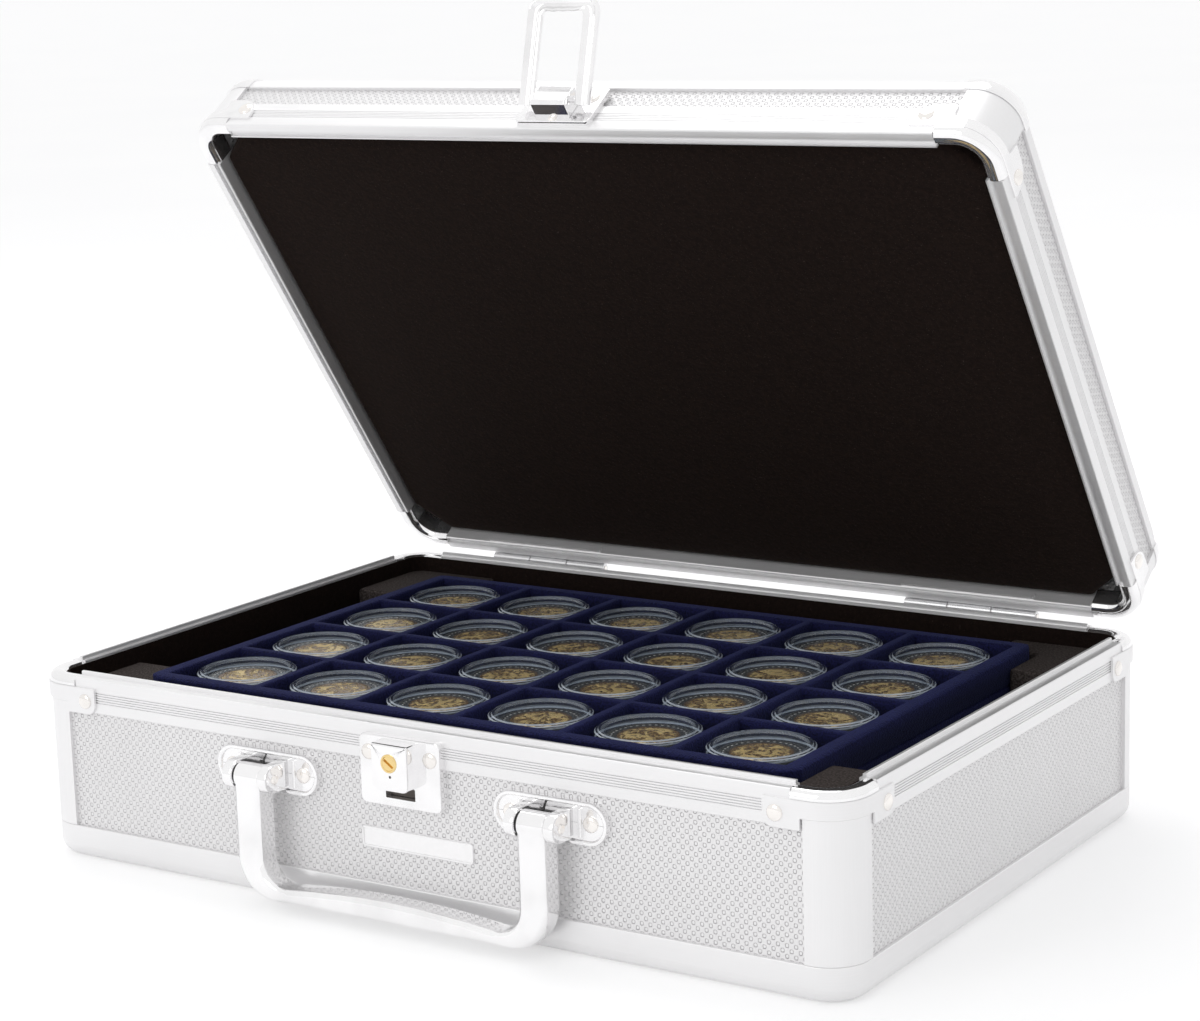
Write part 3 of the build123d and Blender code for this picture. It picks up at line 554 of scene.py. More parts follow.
piece("lid_caps", "lid", opened(caps), chrome, ["lid_corner_caps"])
wing_low = lid_rim + lip_skirt
wing_heights = [
    (0, 1.6), (0.4, 4.0), (1.1, 5.9), (2.1, 7.3), (3.4, 8.2), (5.0, 8.7), (7.4, 8.9), (10.6, 9.0),
    (11.6, 9.0), (12.2, 8.7), (12.35, 8.0), (12.4, 5.6), (12.7, 4.7), (13.0, 4.1), (band_reach, 3.6),
]
wings = [(tip, wing_low, wing_low + high) for tip, high in wing_heights]
brackets = opened(four_corners(corner_band(wings)))
piece("lid_winged_brackets", "lid", brackets, chrome, ["lid_corner_brackets"])
lid_rivets = opened(corner_rivets(lid_rim + rivet_from_rim))
piece("lid_corner_rivets", "lid", lid_rivets, nickel, ["lid_rivets"])


# Felt lining of the base. Thin dark brown felt is glued flat to the floor and stretched
# round the inside of the walls, up over the rim's inner leg.
floor_top = 5.0
felt_t = 0.8
felt_below_rim = 1.0


def felt(start):
    matted = start.noise(700.0, 4.0).over(0.3, 0.75)
    fluff = start.noise(2600.0).over(0.62, 0.78)
    lint = start.noise(1500.0, 0.0).over(0.8, 0.9)
    shade = matted.mix((0.006, 0.0032, 0.0024), (0.013, 0.0075, 0.0058))
    return {
        "Base Color": (fluff * 0.5 + lint * 0.5).mix(shade, (0.07, 0.052, 0.045)),
        "Roughness": 0.9 + matted * 0.1,
        "Normal": (matted + fluff * 0.6).bump(0.0002, 0.5),
    }


felt_fixed = {"Sheen Weight": 0.03, "Sheen Tint": (1, 0.75, 0.65, 1), "Specular IOR Level": 0.1}
dark_felt = finish("dark_felt", felt, felt_fixed)


def plate(outline, low, high):
    """A flat plate with a plan outline, between two heights, its upper edge eased."""
    layers = [(0.0, low), (0.0, high - 0.2), (0.15, high)]
    return swept([[(*point, z) for point in shrunk(outline, by)] for by, z in layers])


def shrunk(outline, by):
    """An outline, running anticlockwise, with all its sides moved inward."""
    inner = []
    for i, point in enumerate(outline):
        back = (point - outline[i - 1]).normalized()
        ahead = (outline[(i + 1) % len(outline)] - point).normalized()
        inward = (back + ahead).orthogonal().normalized()
        inner.append(point + inward * (by / max(0.5, inward.dot(ahead.orthogonal()))))
    return inner


def rectangle(half_x, half_y, x=0.0, y=0.0):
    """A rectangle's corners, anticlockwise."""
    return [(x + way_x * half_x, y + way_y * half_y) for way_x, way_y in corner_ways]


floor_x, floor_y = half_w - core, half_d - core
floor_sheet = [plate(rounded(rectangle(floor_x, floor_y), 1.0), floor_top - felt_t, floor_top)]
floor_felt = piece("floor_felt", "base", floor_sheet, dark_felt, ["base_lining_floor"])
wall_top = rim_top - felt_below_rim
wall_outline = rounded(rectangle(half_w - 5.3, half_d - 5.3), 6.0, 8)
wall_inner = shrunk(wall_outline, 0.5)
wall_layers = [(wall_outline, floor_top), (wall_outline, wall_top)]
wall_layers += [(wall_inner, wall_top), (wall_inner, floor_top)]
wall_sheet = [swept([[(*point, z) for point in outline] for outline, z in wall_layers], closed=True)]
wall_felt = piece("wall_felt", "base", wall_sheet, dark_felt, ["base_lining_walls"])
wall_girth = sum((point - wall_outline[i - 1]).length for i, point in enumerate(wall_outline))


# Foam blocks. Grey-brown foam fills the four corners between the felt and the trays, cut
# square, with its upper edges a little crushed and its outer corner round.
foam_leg = 36.0
foam_top = rim_top - 6.0
foam_clear = 0.5


def foam(start):
    cells = start.noise(1500.0, 3.0).over(0.35, 0.7)
    pores = start.noise(3200.0).over(0.6, 0.75)
    shade = cells.mix((0.034, 0.027, 0.025), (0.1, 0.084, 0.078))
    return {
        # The pores are painted near black, as painted shade in the holes.
        "Base Color": pores.mix(shade, (0.012, 0.009, 0.008)),
        "Roughness": 0.92 + cells * 0.08,
        "Normal": (cells - pores).bump(0.0004, 0.6),
    }


speckled_foam = finish("speckled_foam", foam, {"Specular IOR Level": 0.15})
tray_low, tray_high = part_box("tray_6")
tray_x, tray_y = 1000 * tray_high.x, 1000 * tray_high.y
x, y = half_w - wall - 0.4, half_d - wall - 0.4
near_x, near_y = tray_x + foam_clear, tray_y + foam_clear
foam_corners = [(x - foam_leg, -y), (x, -y), (x, foam_leg - y)]
foam_corners += [(near_x, foam_leg - y), (near_x, -near_y), (x - foam_leg, -near_y)]
foam_plan = rounded(foam_corners, [1.6, 6.0, 1.6, 1.6, 0.8, 1.6], 6)
foam_layers = [(0.0, floor_top), (0.0, foam_top - 1.2), (0.3, foam_top - 0.4), (1.1, foam_top)]
foam_block = swept([[(*point, z) for point in shrunk(foam_plan, by)] for by, z in foam_layers])
foam_shells = four_corners(foam_block)
blocks = piece("foam_blocks", "base", foam_shells, speckled_foam, ["foam_corner_blocks"])


# Lid pad. A soft flat pad in the same dark felt fills the lid, with cut-off corners. It is
# wrapped over foam, so its edges are round and its face is a little fuller in the middle.
pad_x, pad_y = half_w - wall - 0.2, half_d - wall - 0.2
pad_cut = 12.0
pad_low, pad_back = lid_rim + 3.0, lid_top - 4.2
pad_corners = [
    (way_x * (pad_x - cut_x), way_y * (pad_y - cut_y))
    for way_x, way_y, first in ((-1, -1, 0), (1, -1, 1), (1, 1, 0), (-1, 1, 1))
    for cut_x, cut_y in ([(0, pad_cut), (pad_cut, 0)] if first == 0 else [(pad_cut, 0), (0, pad_cut)])
]
pad_outline = rounded(pad_corners, 2.5, 4)
pad_layers = [(0.0, pad_back), (0.0, pad_low + 3.0), (0.35, pad_low + 1.9)]
pad_layers += [(1.2, pad_low + 1.0), (2.6, pad_low + 0.6)]
pad_steps = (6, 12, 20, 30, 42, 56, 72)
pad_layers += [(inward, pad_low + 0.6 * math.exp(-inward / 25)) for inward in pad_steps]
pad_rings = [[(*point, z) for point in shrunk(pad_outline, min(by, 2.6))] for by, z in pad_layers[:5]]
edge_ring = shrunk(pad_outline, 2.6)
for by, z in pad_layers[5:]:
    scale_x, scale_y = (pad_x - by) / (pad_x - 2.6), (pad_y - by) / (pad_y - 2.6)
    pad_rings.append([(point.x * scale_x, point.y * scale_y, z) for point in edge_ring])
pad = piece("lid_felt_pad", "lid", opened([swept(pad_rings)]), dark_felt, ["lid_pad"])
hinge_places = (-84.0, 84.0)
strip_shells = []
for x in hinge_places:
    strip = rounded(rectangle(24.0, 1.15), 0.4, 2)
    at = Matrix.Translation((x, half_d - wall, lid_rim + 1.65)) @ stood_up
    strip_shells.append(moved(plate(strip, 0.0, 0.8), at))
piece("hinge_backing", "lid", opened(strip_shells), lid_along, ["hinge_backing_strips"])


# Trays. Six stacking trays of moulded sheet, flocked all over in navy velour, each with
# six by four square cells between soft round ridges. The top one holds the coins.
tray_h = 1000 * (tray_high.z - tray_low.z)
cell_pitch = 37.8
cell_half = 17.0
cell_floor = 1.8
tray_cut = 3.5
foot_gap = 0.05
columns, rows = 6, 4


def velour(start):
    pile = start.noise(1800.0, 3.0).over(0.3, 0.7)
    nap = start.noise(60.0, 3.0).over(0.35, 0.7)
    # Painted shade and light: rise is the height on the tray, and the pile is painted dark low in the
    # cells and lighter up on the ridges.
    rise = start.node("Attribute", {"attribute_name": "rise"}, {}, out="Fac").over(0.35, 1.0)
    shaded = pile.mix((0.0008, 0.0009, 0.006), (0.003, 0.0034, 0.02))
    painted_light_pile = pile.mix((0.003, 0.0034, 0.022), (0.016, 0.018, 0.085))
    return {
        "Base Color": (rise * (0.75 + nap * 0.25)).mix(shaded, painted_light_pile),
        "Roughness": 0.85 + pile * 0.15,
        "Normal": (pile + nap * 0.5).bump(0.0003, 0.6),
    }


velour_fixed = {"Sheen Weight": 0.2, "Sheen Roughness": 0.4, "Specular IOR Level": 0.15}
velour_fixed["Sheen Tint"] = (0.25, 0.3, 0.8, 1)
navy_velour = finish("navy_velour", velour, velour_fixed)
wall_steps = [(-1.0, 0.0), (-0.35, 0.12), (0.0, 0.75), (0.25, 0.92), (0.8, 1.0)]


def grid_lines(count, half):
    """Lines across a tray, as (place, ridge height from 0 to 1), from one side to the other."""
    lines = [(0.0, 0.0), (0.0, 0.88), (0.35, 0.97), (1.2, 1.0)]
    lines = [(inward - half, height) for inward, height in lines]
    for i in range(count):
        middle = (i - (count - 1) / 2) * cell_pitch
        left = [(middle - cell_half - out, height) for out, height in reversed(wall_steps)]
        right = [(middle + cell_half + out, height) for out, height in wall_steps]
        lines += left + right
    lines += [(half - 1.2, 1.0), (half - 0.35, 0.97), (half, 0.88), (half, 0.0)]
    return lines


def tray_shell(low):
    """A tray as a grid of heights over its cells, closed below."""
    grid_x, grid_y = grid_lines(columns, tray_x), grid_lines(rows, tray_y)
    points = []
    for i, (x, rise_x) in enumerate(grid_x):
        for j, (y, rise_y) in enumerate(grid_y):
            foot = i in (0, len(grid_x) - 1) or j in (0, len(grid_y) - 1)
            z = foot_gap if foot else cell_floor + (tray_h - cell_floor) * max(rise_x, rise_y)
            border = min(tray_x - abs(x), tray_y - abs(y))
            if not foot and border < 1.0:
                z = min(z, tray_h * (0.9 + 0.1 * min(1.0, border)))
            over = max(0.0, abs(x) + abs(y) - (tray_x + tray_y - tray_cut)) / 2
            points.append(Vector((x - math.copysign(over, x), y - math.copysign(over, y), low + z)))
    across = len(grid_y)
    faces = [
        (i * across + j, (i + 1) * across + j, (i + 1) * across + j + 1, i * across + j + 1)
        for i in range(len(grid_x) - 1)
        for j in range(across - 1)
    ]
    border = [i * across for i in range(len(grid_x))]
    border += [(len(grid_x) - 1) * across + j for j in range(1, across)]
    border += [i * across + across - 1 for i in reversed(range(len(grid_x) - 1))]
    border += list(reversed(range(1, across - 1)))
    return points, faces + [tuple(border)]


for i in range(6):
    name = f"tray_{i + 1}"
    low = 1000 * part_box(name)[0].z
    tray = piece(f"velour_{name}", name, [tray_shell(low)], navy_velour, [name], crease=75)
    rises = tray.data.attributes.new("rise", "FLOAT", "POINT")
    for corner in tray.data.vertices:
        rises.data[corner.index].value = (1000 * corner.co.z - low) / tray_h


# Capsules. Clear two-part acrylic capsules stand in the cells of the top tray. Each has a
# cup, and a lid with a stepped rim round a flat window, and a pale painted highlight lies on its
# slanted edges.
cup_low = 1000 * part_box("capsule_bases")[0].z
lid_low = 1000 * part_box("capsule_lids")[0].z
capsule_r = 16.0
window_r = 13.3


def acrylic_gloss(start):
    haze = start.noise(300.0, 3.0).over(0.4, 0.8)
    return {
        "Base Color": haze.mix((0.62, 0.7, 0.8), (0.8, 0.86, 0.92)),
        "Roughness": 0.05 + haze * 0.06,
        "Normal": haze.bump(0.00005, 0.2),
    }


acrylic = finish("clear_acrylic", acrylic_gloss, {"IOR": 1.49})
start = Wire(acrylic.node_tree)
facing = start.node("NewGeometry", {}, {}, out="Normal")
upward = start.node("SeparateXYZ", {}, {0: facing}, out="Z").maths("ABSOLUTE")
scratched = start.noise(260.0, 4.0, (1, 0.12, 1)).over(0.6, 0.75)
# Painted highlight: the slanted faces of rims and steps are drawn more opaque and pale, as lit edges.
edge = upward.over(0.2, 0.5) * upward.over(0.99, 0.9)
share = 0.03 + edge * 0.55 + scratched * 0.02
clear = start.node("BsdfTransparent", {}, {"Color": (0.965, 0.975, 0.985, 1)})
gloss = Wire(acrylic.node_tree, acrylic.node_tree.nodes["Principled BSDF"].outputs[0])
blend = start.node("MixShader", {}, {0: share, 1: clear, 2: gloss})
surface = acrylic.node_tree.nodes["Material Output"].inputs["Surface"]
acrylic.node_tree.links.new(blend.socket, surface)
cup_profile = [(12.6, 0.0), (14.9, 0.0), (15.4, 0.35), (15.5, 3.0), (15.9, 3.4)]
cup_profile += [(capsule_r, 4.1), (13.5, 4.1), (13.3, 1.7), (12.9, 1.5), (0.5, 1.5)]
lid_profile = [(0.5, 1.15), (window_r - 0.6, 1.15), (window_r, 1.3), (window_r + 0.25, 2.0)]
lid_profile += [(window_r + 0.8, 2.2), (14.6, 2.15), (14.9, 1.75), (15.5, 1.7), (15.85, 1.4)]
lid_profile += [(capsule_r, 0.7), (15.95, 0.0), (13.6, 0.0), (13.4, 0.45), (0.5, 0.45)]
cells = [
    ((i - (columns - 1) / 2) * cell_pitch, (j - (rows - 1) / 2) * cell_pitch)
    for i in range(columns)
    for j in range(rows)
]
cup, lid = turned(cup_profile, 48), turned(lid_profile, 48)
cups = [moved(cup, Matrix.Translation((x, y, cup_low))) for x, y in cells]
lids = [moved(lid, Matrix.Translation((x, y, lid_low))) for x, y in cells]
piece("capsule_cups", "tray_6", cups, acrylic, ["capsule_bases"], crease=32)
piece("capsule_covers", "tray_6", lids, acrylic, ["capsule_lids"], crease=32)


# Coins. Each has a silver ring round a golden core, a raised rim, a row of beads and a
# struck relief in the core. No two reliefs are alike, and none of them is a picture.
coin_low = 1000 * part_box("coins")[0].z
coin_r = 12.875
coin_t = 2.2
core_share = 0.728


def struck_coin(start):
    face = start.node("Attribute", {"attribute_name": "coin_face"}, {}, out="Vector")
    x, y = start.toward((1, 0, 0), face), start.toward((0, 1, 0), face)
    radius = (x * x + y * y).maths("SQRT")
    angle = y.maths("ARCTAN2", x)
    gold = radius.over(core_share + 0.006, core_share - 0.006)
    seam = 1 - ((radius - core_share).maths("ABSOLUTE")).over(0.004, 0.016)
    swirls = {"Vector": face, "Scale": 3.2, "Detail": 3.0, "Distortion": 1.2}
    figures = start.node("TexNoise", {}, swirls)
    lines = start.node("TexNoise", {}, {"Vector": face, "Scale": 11.0, "Detail": 2.0})
    struck = figures.over(0.49, 0.54) + lines.over(0.5, 0.58) * 0.5
    struck = struck * radius.over(0.68, 0.6)
    beads = (angle * 36.0).maths("COSINE") * 0.5 + 0.5
    beads = beads.over(0.35, 0.8) * (1 - ((radius - 0.855).maths("ABSOLUTE")).over(0.012, 0.03))
    relief = struck + beads
    wear = start.noise(400.0, 3.0).over(0.35, 0.75)
    # Painted light: the raised relief and beads are painted bright as a painted highlight, and the
    # field round them dark as painted shade and reflection.
    golden = struck.mix((0.24, 0.12, 0.025), (1.0, 0.72, 0.28))
    silver = relief.mix((0.07, 0.065, 0.055), (0.9, 0.87, 0.8))
    return {
        "Base Color": seam.mix(gold.mix(silver, golden), (0.08, 0.06, 0.04)),
        "Roughness": 0.2 + wear * 0.12 + relief * 0.05,
        "Normal": (relief - seam * 0.6).bump(0.0006, 1.0),
    }


bimetal = finish("struck_bimetal", struck_coin, {"Metallic": 0.4})
coin_profile = [(0.2, 0.12), (11.4, 0.12), (11.7, 0.0), (12.5, 0.0), (coin_r, 0.2), (coin_r, 2.0)]
coin_profile += [(12.5, coin_t), (11.7, coin_t), (11.4, 2.08), (9.6, 2.08), (5.0, 2.08), (0.2, 2.08)]
coin = turned(coin_profile, 40)
coins = [moved(coin, Matrix.Translation((x, y, coin_low))) for x, y in cells]
coin_piece = piece("bimetal_coins", "tray_6", coins, bimetal, ["coins"], crease=32)
coin_face = coin_piece.data.attributes.new("coin_face", "FLOAT_VECTOR", "POINT")
per_coin = len(coin[0])
for i, corner in enumerate(coin_piece.data.vertices):
    number = i // per_coin
    x, y = cells[number]
    spin = Matrix.Rotation(2.4 * number, 2)
    flat = spin @ Vector((1000 * corner.co.x - x, 1000 * corner.co.y - y)) / coin_r
    coin_face.data[i].vector = (flat.x, flat.y, 7.0 * number)


# Hinges. Two knuckle hinges join the back rims. Their leaves lie on the outside of the
# case and are riveted through, and a steel pin runs down the knuckles of each.
knuckle_r = 1.8
hinge_half = 24.0
leaf_low, leaf_high, leaf_t = 2.1, 10.0, 1.0
knuckle_gap = 0.3
zinc_metal = satin_metal((0.7, 0.7, 0.71), (60.0, 3000.0, 3000.0), 0.22)
zinc = finish("zinc_plate", zinc_metal, {"Metallic": 1.0})


def rod(radius, start_x, end_x, y, z, ease=0.15, spokes=24):
    """A round bar along X with eased ends."""
    profile = [(radius - ease, start_x), (radius, start_x + ease)]
    profile += [(radius, end_x - ease), (radius - ease, end_x)]
    lying = Matrix.Translation((0, y, z)) @ Matrix.Rotation(math.radians(90), 4, "Y")
    return moved(turned(profile, spokes), lying)


def hinge_leaf(x, up, first):
    """A leaf below (-1) or above (1) the axis, with its share of the knuckles."""
    middle = hinge_at.z + up * (leaf_low + leaf_high) / 2
    outline = rounded(rectangle(hinge_half, (leaf_high - leaf_low) / 2), 1.0, 3)
    shells = [moved(plate(outline, 0.0, leaf_t), on_wall("back", -x, middle, 0.0))]
    for i in range(first, 3, 2):
        start_x = x - hinge_half + 16.0 * i
        end_x = start_x + 16.0 - knuckle_gap
        shells.append(rod(knuckle_r, start_x, end_x, hinge_at.y, hinge_at.z))
        root = rounded(rectangle((end_x - start_x) / 2, 1.1), 0.1, 1)
        place = on_wall("back", -(start_x + end_x) / 2, hinge_at.z + up * 1.2, 0.0)
        shells.append(moved(plate(root, 0.0, leaf_t), place))
    return shells


def leaf_rivets(up):
    height = hinge_at.z + up * (leaf_high + leaf_low) / 2
    places = [x + way * 14.0 for x in hinge_places for way in (-1, 1)]
    return rivets(places, height, leaf_t, 1.8, side="back")


base_leaves = [shell for x in hinge_places for shell in hinge_leaf(x, -1, 0)]
piece("hinge_base_leaves", "base", base_leaves, zinc, ["hinge_leaves_base"])
lid_leaves = opened([shell for x in hinge_places for shell in hinge_leaf(x, 1, 1)])
piece("hinge_lid_leaves", "lid", lid_leaves, zinc, ["hinge_leaves_lid"])
pins = [rod(0.9, x - hinge_half, x + hinge_half, hinge_at.y, hinge_at.z) for x in hinge_places]
piece("hinge_pin_rods", "base", pins, nickel, ["hinge_pins"])
piece("hinge_base_rivets", "base", leaf_rivets(-1), nickel, ["hinge_rivets_base"])
piece("hinge_lid_rivets", "lid", opened(leaf_rivets(1)), nickel, ["hinge_rivets_lid"])


# Lock. A chromed plate folded back at its edges is riveted over the front rim. A box on it
# holds a brass key plug, and a slot under the box takes the loop's hook.
plate_half_w, plate_h, plate_top, plate_out = 14.5, 21.0, rim_top - 2.7, 2.2
box_half_w, box_h, box_top, box_depth = 6.5, 14.0, rim_top - 3.5, 5.0
slot_half_w, slot_h = 5.3, 3.6
key_z = rim_top - 9.0
key_r = 2.8
lock_rivet_x, lock_rivet_drop = 11.0, 8.0


def framed(outline, hole, low, high, ease=0.35):
    """A plate with a hole, both drawn with as many points, its outer edge rounded."""
    layers = [(outline, low), (outline, high - ease), (shrunk(outline, 0.3 * ease), high - 0.3 * ease)]
    layers += [(shrunk(outline, ease), high), (hole, high), (hole, low)]
    return swept([[(*point, z) for point in ring] for ring, z in layers], closed=True)


def pressed(outline, low, high, ease):
    """A plate whose outer edge is rounded over into its face."""
    layers = [(0.0, low), (0.0, high - ease)]
    turns = [math.radians(18 * i) for i in range(1, 6)]
    layers += [(ease * (1 - math.cos(a)), high - ease + ease * math.sin(a)) for a in turns]
    return swept([[(*point, z) for point in shrunk(outline, by)] for by, z in layers])


plate_z = plate_top - plate_h / 2
slot_z = box_top - box_h - slot_h / 2
plate_outline = rounded(rectangle(plate_half_w, plate_h / 2), 1.9, 5)
slot_outline = rounded(rectangle(slot_half_w, slot_h / 2, 0.0, slot_z - plate_z), 0.25, 5)
lock_plate = framed(plate_outline, slot_outline, -skin, plate_out, 0.6)
at_plate = on_wall("front", 0.0, plate_z, 0.0)
piece("lock_face_plate", "base", [moved(lock_plate, at_plate)], chrome, ["lock_plate"])
# Dark steel for the dimple, and for a plate set back in the slot that paints the shade inside it.
dark_steel_and_slot_shade = finish("dark_lock_steel_and_slot_shade", bright_metal((0.09, 0.08, 0.075), 0.35), {"Metallic": 1.0})
slot_shade_plate = plate(rounded(rectangle(slot_half_w, slot_h / 2), 0.2, 2), -1.1, -0.4)
piece("lock_slot_shade_plate", "base", [moved(slot_shade_plate, on_wall("front", 0.0, slot_z, 0.0))], dark_steel_and_slot_shade)
box_corners = rectangle(box_half_w, box_h / 2)
box_outline = rounded(box_corners, [2.2, 2.2, 0.4, 0.4], 5)
box_z = box_top - box_h / 2
key_turns = [math.radians(213.75 + 15 * i) for i in range(24)]
plug_rim = [Vector((key_r * math.cos(a), key_r * math.sin(a))) for a in key_turns]
key_hole = [point + Vector((0, key_z - box_z)) for point in plug_rim]
lock_box = framed(box_outline, key_hole, 0.0, box_depth, 0.7)
at_box = on_wall("front", 0.0, box_z, plate_out)
piece("lock_case", "base", [moved(lock_box, at_box)], chrome, ["lock_box"])
brass = finish("brass_plug", bright_metal((0.83, 0.63, 0.3), 0.14), {"Metallic": 1.0})
keyway = rounded(rectangle(1.9, 0.4), 0.15, 5)
plug_steps = [(0.2, 2.3), (0.55, 2.3), (0.7, 2.05)]
plug_layers = [(plug_rim, 0.0), (plug_rim, 2.1)]
plug_layers += [(shrunk(plug_rim, by), z) for by, z in plug_steps]
plug_layers += [(keyway, 2.05), (keyway, 0.9)]
plug = swept([[(*point, z) for point in ring] for ring, z in plug_layers])
tilt = Matrix.Rotation(math.radians(-35.0), 4, "Z")
at_key = on_wall("front", 0.0, key_z, plate_out + box_depth - 1.9)
piece("brass_key_plug", "key", [moved(plug, at_key @ tilt)], brass, ["key_plug"])
frame["nodes"]["lock_cam"].data.materials.clear()
frame["nodes"]["lock_cam"].data.materials.append(brass)
dimple = turned([(0.42, -0.1), (0.42, 0.02), (0.1, 0.03)], 12)
at_dimple = on_wall("front", 0.3, key_z - 4.0, plate_out + box_depth)
piece("lock_dimple", "base", [moved(dimple, at_dimple)], dark_steel_and_slot_shade)
lock_rivets = rivets((-lock_rivet_x, lock_rivet_x), rim_top - lock_rivet_drop, plate_out)
piece("lock_plate_rivets", "base", lock_rivets, nickel, ["lock_rivets"])


# Name plate. A thin pressed aluminium plate with a raised border, stuck to the film under
# the lock. Its face is left bare.
sign = rounded(rectangle(20.0, 3.15), 1.0, 4)
sign_layers = [(0.0, 0.0), (0.0, 0.55), (0.15, 0.7), (0.5, 0.7), (0.7, 0.3)]
sign_shell = swept([[(*point, z) for point in shrunk(sign, by)] for by, z in sign_layers])
sign_at = on_wall("front", 3.0, rim_top - 35.2, -skin)
matt_metal = satin_metal((0.94, 0.935, 0.94), (900.0, 900.0, 900.0), 0.3)
matt_plate = finish("matt_name_plate", matt_metal, {"Metallic": 0.75})
piece("bare_name_plate", "base", [moved(sign_shell, sign_at)], matt_plate, ["name_plate"])


# Hasp. A chromed plate on the lid's front carries a folded block and three rivets. A pressed
# loop swings on pivots in the block, thrown up and over from where it meets the lock.
hasp_out = 1.6
block_half_w, block_low = 6.25, 3.2
loop_joint = next(joint for joint in frame["joints"] if joint["name"] == "hasp_swing")
loop_at = Vector((0, -half_d - 4.9, lid_rim + 8.0))
loop_turn = Matrix.Rotation(math.radians(loop_joint["range_deg"][0]), 4, "X")
loop_opening = lid_opening @ Matrix.Translation(loop_at) @ loop_turn @ Matrix.Translation(-loop_at)
hasp_outline = rounded(rectangle(13.5, 8.0), [1.6, 1.6, 0.4, 0.4], 4)
hasp_plate = pressed(hasp_outline, 0.0, hasp_out, 0.35)
hasp_shells = opened([moved(hasp_plate, on_wall("front", 0.0, lid_rim + 9.5, 0.0))])
piece("hasp_base_plate", "lid", hasp_shells, chrome, ["hasp_plate"])
block_section = rounded([(0, 0), (5.1, 0), (6, 0.9), (6, 8), (0, 8)], [0, 0.4, 0.4, 0.5, 0], 4)
block_ends = [(-6.25, 0.3), (-6.05, 0.05), (-5.9, 0.0), (5.9, 0.0), (6.05, 0.05), (6.25, 0.3)]
block_y, block_z = -half_d - hasp_out, lid_rim + block_low
block_rings = [
    [Vector((x, block_y - point.x, block_z + point.y)) for point in shrunk(block_section, by)]
    for x, by in block_ends
]
piece("hasp_folded_block", "lid", opened([swept(block_rings)]), chrome, ["hasp_block"])
hasp_heads = rivets((-9.6, 9.6), lid_rim + 13.0, hasp_out)
hasp_heads += rivets((0.0,), lid_rim + 3.1, hasp_out, 1.5)
piece("hasp_plate_rivets", "lid", opened(hasp_heads), nickel, ["hasp_rivets"])


def there_and_back(side, between):
    """A line down one side, through the points between, and up the other side."""
    return side + between + [(-x, y) for x, y in reversed(side)]


def hooped(outer, inner, section):
    """A bar between an outer and an inner line, from (share across, height) points."""
    rings = []
    for a, b in zip(outer, inner):
        rings.append([(*a.lerp(b, share), z) for share, z in section])
    return swept(rings)


loop_half, loop_low, loop_high = 12.75, -31.2, 1.8
bar_w, end_w, loop_t = 5.25, 4.5, 2.6
inner_half, inner_low = loop_half - bar_w, loop_low + end_w
waves = [(0.75, 0.0), (0.5, 0.9), (0.25, 0.25), (0.0, 0.8), (-0.25, 0.25), (-0.5, 0.9), (-0.75, 0.0)]
outer_side = [(loop_half, loop_high), (loop_half, -20.0), (loop_half, loop_low)]
outer_corners = there_and_back(outer_side, [(share * inner_half, loop_low) for share, _ in waves])
inner_side = [(inner_half, loop_high), (inner_half, -20.0), (inner_half, inner_low)]
inner_waves = [(share * inner_half, inner_low + 0.3 * rise) for share, rise in waves]
inner_corners = there_and_back(inner_side, inner_waves)
outer_line = rounded(outer_corners, [0, 0, 4.5] + [0] * 7 + [4.5, 0, 0], 6)
inner_line = rounded(inner_corners, [0, 0, 1.6] + [0] * 7 + [1.6, 0, 0], 6)
loop_section = [(0.0, 0.3), (0.0, 1.3), (0.05, 1.9), (0.16, 2.4), (0.32, loop_t), (0.6, loop_t)]
loop_section += [(0.8, 2.35), (0.93, 1.8), (1.0, 1.1), (1.0, 0.3), (0.94, 0.0), (0.82, 0.0)]
loop_section += [(0.7, 0.9), (0.5, 1.2), (0.3, 0.9), (0.14, 0.0), (0.05, 0.0)]
loop_place = Matrix.Translation((0, loop_at.y + loop_t / 2, loop_at.z)) @ stood_up
loop_shells = [moved(hooped(outer_line, inner_line, loop_section), loop_place)]
for way in (-1, 1):
    ends = sorted((way * inner_half, way * (block_half_w - 3.5)))
    loop_shells.append(rod(1.1, *ends, loop_at.y, loop_at.z))
loop_shells = [moved(shell, loop_opening) for shell in loop_shells]
piece("hasp_swing_loop", "hasp", loop_shells, chrome, ["hasp_loop"], crease=45)


# Handle. A cast and chromed bail hangs on two mounts. Its front is flat with round edges,
# its grip is arched inside, and its arms end in barrels that turn on pins in the ears.
handle_x = 51.0
handle_drop = 19.6
handle_z = rim_top - handle_drop
handle_out = 7.5
arm_half = 4.75
grip_low = 3.4
barrel_r = 4.0
ear_in, ear_out, ear_r = 5.05, 8.45, 4.4
outer_half, inner_half = handle_x + arm_half, handle_x - arm_half
drop = grip_low - handle_z
grip_h = 3.4
arch_shares = (0.8, 0.6, 0.4, 0.2, 0.0, -0.2, -0.4, -0.6, -0.8)
arch = [(share, grip_h + grip_h * (1 - share**2)) for share in arch_shares]
outer_side = [(outer_half, 0.5), (outer_half, drop / 2), (outer_half, drop)]
outer_corners = there_and_back(outer_side, [(share * inner_half, drop) for share in arch_shares])
inner_side = [(inner_half, 0.5), (inner_half, drop / 2), (inner_half, drop + grip_h)]
inner_arch = [(share * inner_half, drop + rise) for share, rise in arch]
inner_corners = there_and_back(inner_side, inner_arch)
outer_line = rounded(outer_corners, [0, 0, 13.0] + [0] * 9 + [13.0, 0, 0], 10)
inner_line = rounded(inner_corners, [0, 0, 8.0] + [0] * 9 + [8.0, 0, 0], 10)
bail_rings = []
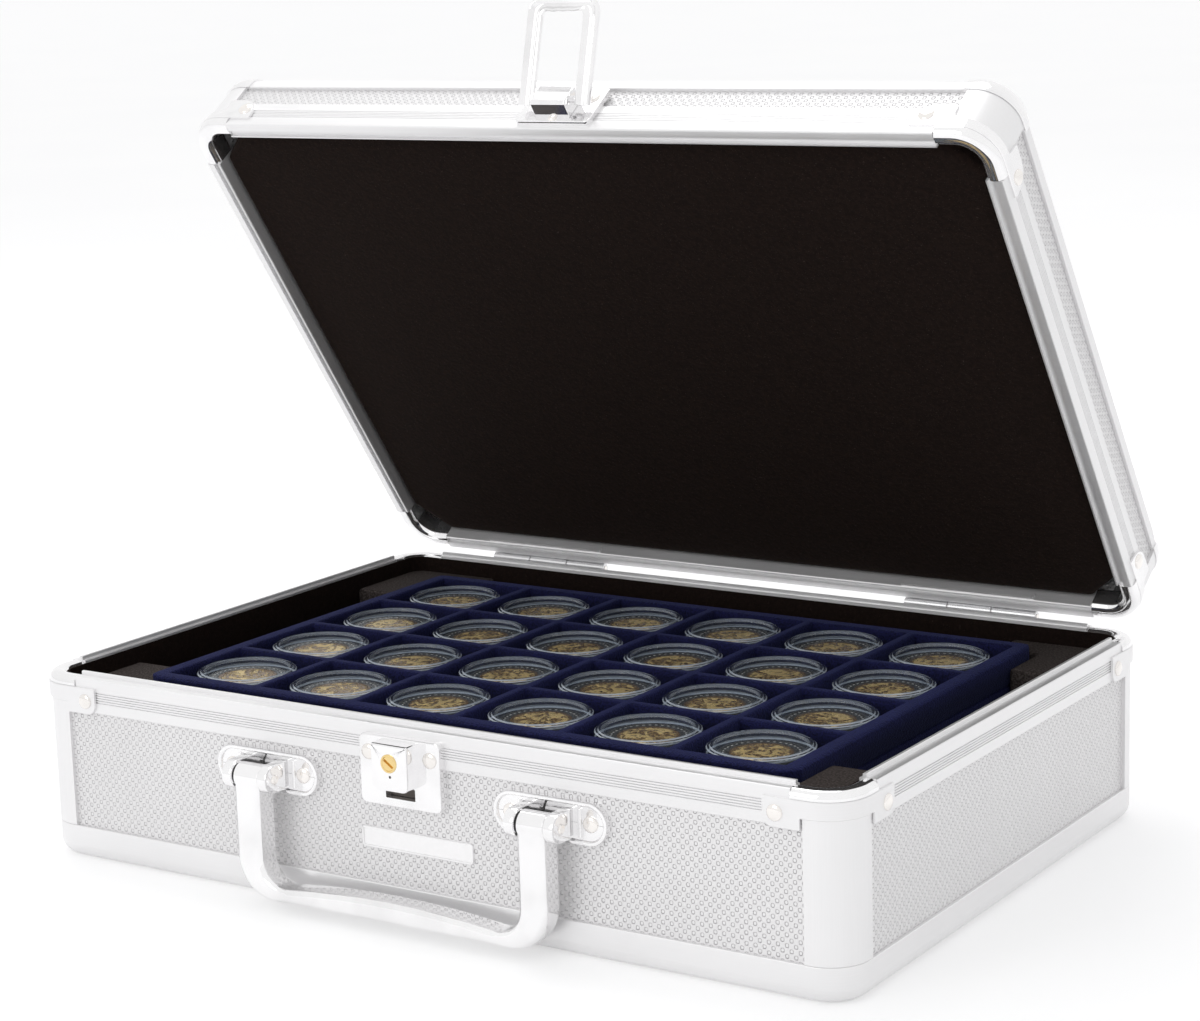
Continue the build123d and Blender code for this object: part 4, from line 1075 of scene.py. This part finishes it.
for a, b in zip(outer_line, inner_line):
    across = (b - a).normalized()
    width = (b - a).length
    eased = [(0.0, 0.7), (0.2, 0.2), (0.7, 0.0), (width - 0.7, 0.0), (width - 0.2, 0.2), (width, 0.7)]
    eased += [(width, 6.0), (width - 0.35, 6.8), (width - 1.3, 7.45), (width - 1.7, 7.5)]
    eased += [(1.7, 7.5), (1.3, 7.45), (0.35, 6.8), (0.0, 6.0)]
    bail_rings.append([(*(a + across * s), z) for s, z in eased])
bail_at = on_wall("front", 0.0, handle_z, handle_out - 3.75)
bail_shells = [moved(swept(bail_rings), bail_at)]
pin_y = -half_d - handle_out
for x in (-handle_x, handle_x):
    bail_shells.append(rod(barrel_r, x - arm_half, x + arm_half, pin_y, handle_z, 0.7, 32))
piece("handle_bail", "handle", bail_shells, chrome, ["handle"], crease=40)

mount_half_l, mount_half_h = 19.25, 6.35
mount_t = 2.2
mount_outline = rounded(rectangle(mount_half_l, mount_half_h), mount_half_h - 0.01, 9)
mount_layers = [(0.0, 0.0), (0.0, 1.7), (0.2, 2.1), (0.6, mount_t), (1.0, mount_t)]
mount_layers += [(1.35, 1.9), (1.5, 1.45)]
mount_plate = swept([[(*point, z) for point in shrunk(mount_outline, by)] for by, z in mount_layers])
ear_section = rounded(
    [(-1.6, -ear_r), (handle_out + ear_r, -ear_r), (handle_out + ear_r, ear_r), (-1.6, ear_r)],
    [0.0, ear_r - 0.05, ear_r - 0.05, 0.0],
    8,
)
ear_ends = [(0.0, 0.5), (0.15, 0.15), (0.5, 0.0), (2.9, 0.0), (3.25, 0.15), (3.4, 0.5)]
rib = pressed(rounded(rectangle(0.5, 4.3), 0.3, 2), 1.0, 2.3, 0.3)
for side, x in (("left", -handle_x), ("right", handle_x)):
    shells = [moved(mount_plate, on_wall("front", x, handle_z, -skin))]
    for start_x in (x - ear_out, x + ear_in):
        shells.append(swept([
            [
                Vector((start_x + along, -half_d - point.x, handle_z + point.y))
                for point in shrunk(ear_section, by)
            ]
            for along, by in ear_ends
        ]))
    for way in (-1, 1):
        shells.append(moved(rib, on_wall("front", x + way * 10.2, handle_z, -skin)))
    piece(f"mount_{side}", "base", shells, chrome, [f"handle_mount_{side}"], crease=40)
pin_shells = []
for x in (-handle_x, handle_x):
    pin_shells.append(rod(1.5, x - ear_out - 0.5, x + ear_out + 0.5, pin_y, handle_z, 0.35))
piece("handle_pin_rods", "base", pin_shells, nickel, ["handle_pins"])
mount_places = [x + way * 13.5 for x in (-handle_x, handle_x) for way in (-1, 1)]
mount_heads = rivets(mount_places, handle_z, 0.4)
piece("mount_rivets", "base", mount_heads, nickel, ["handle_mount_rivets"])
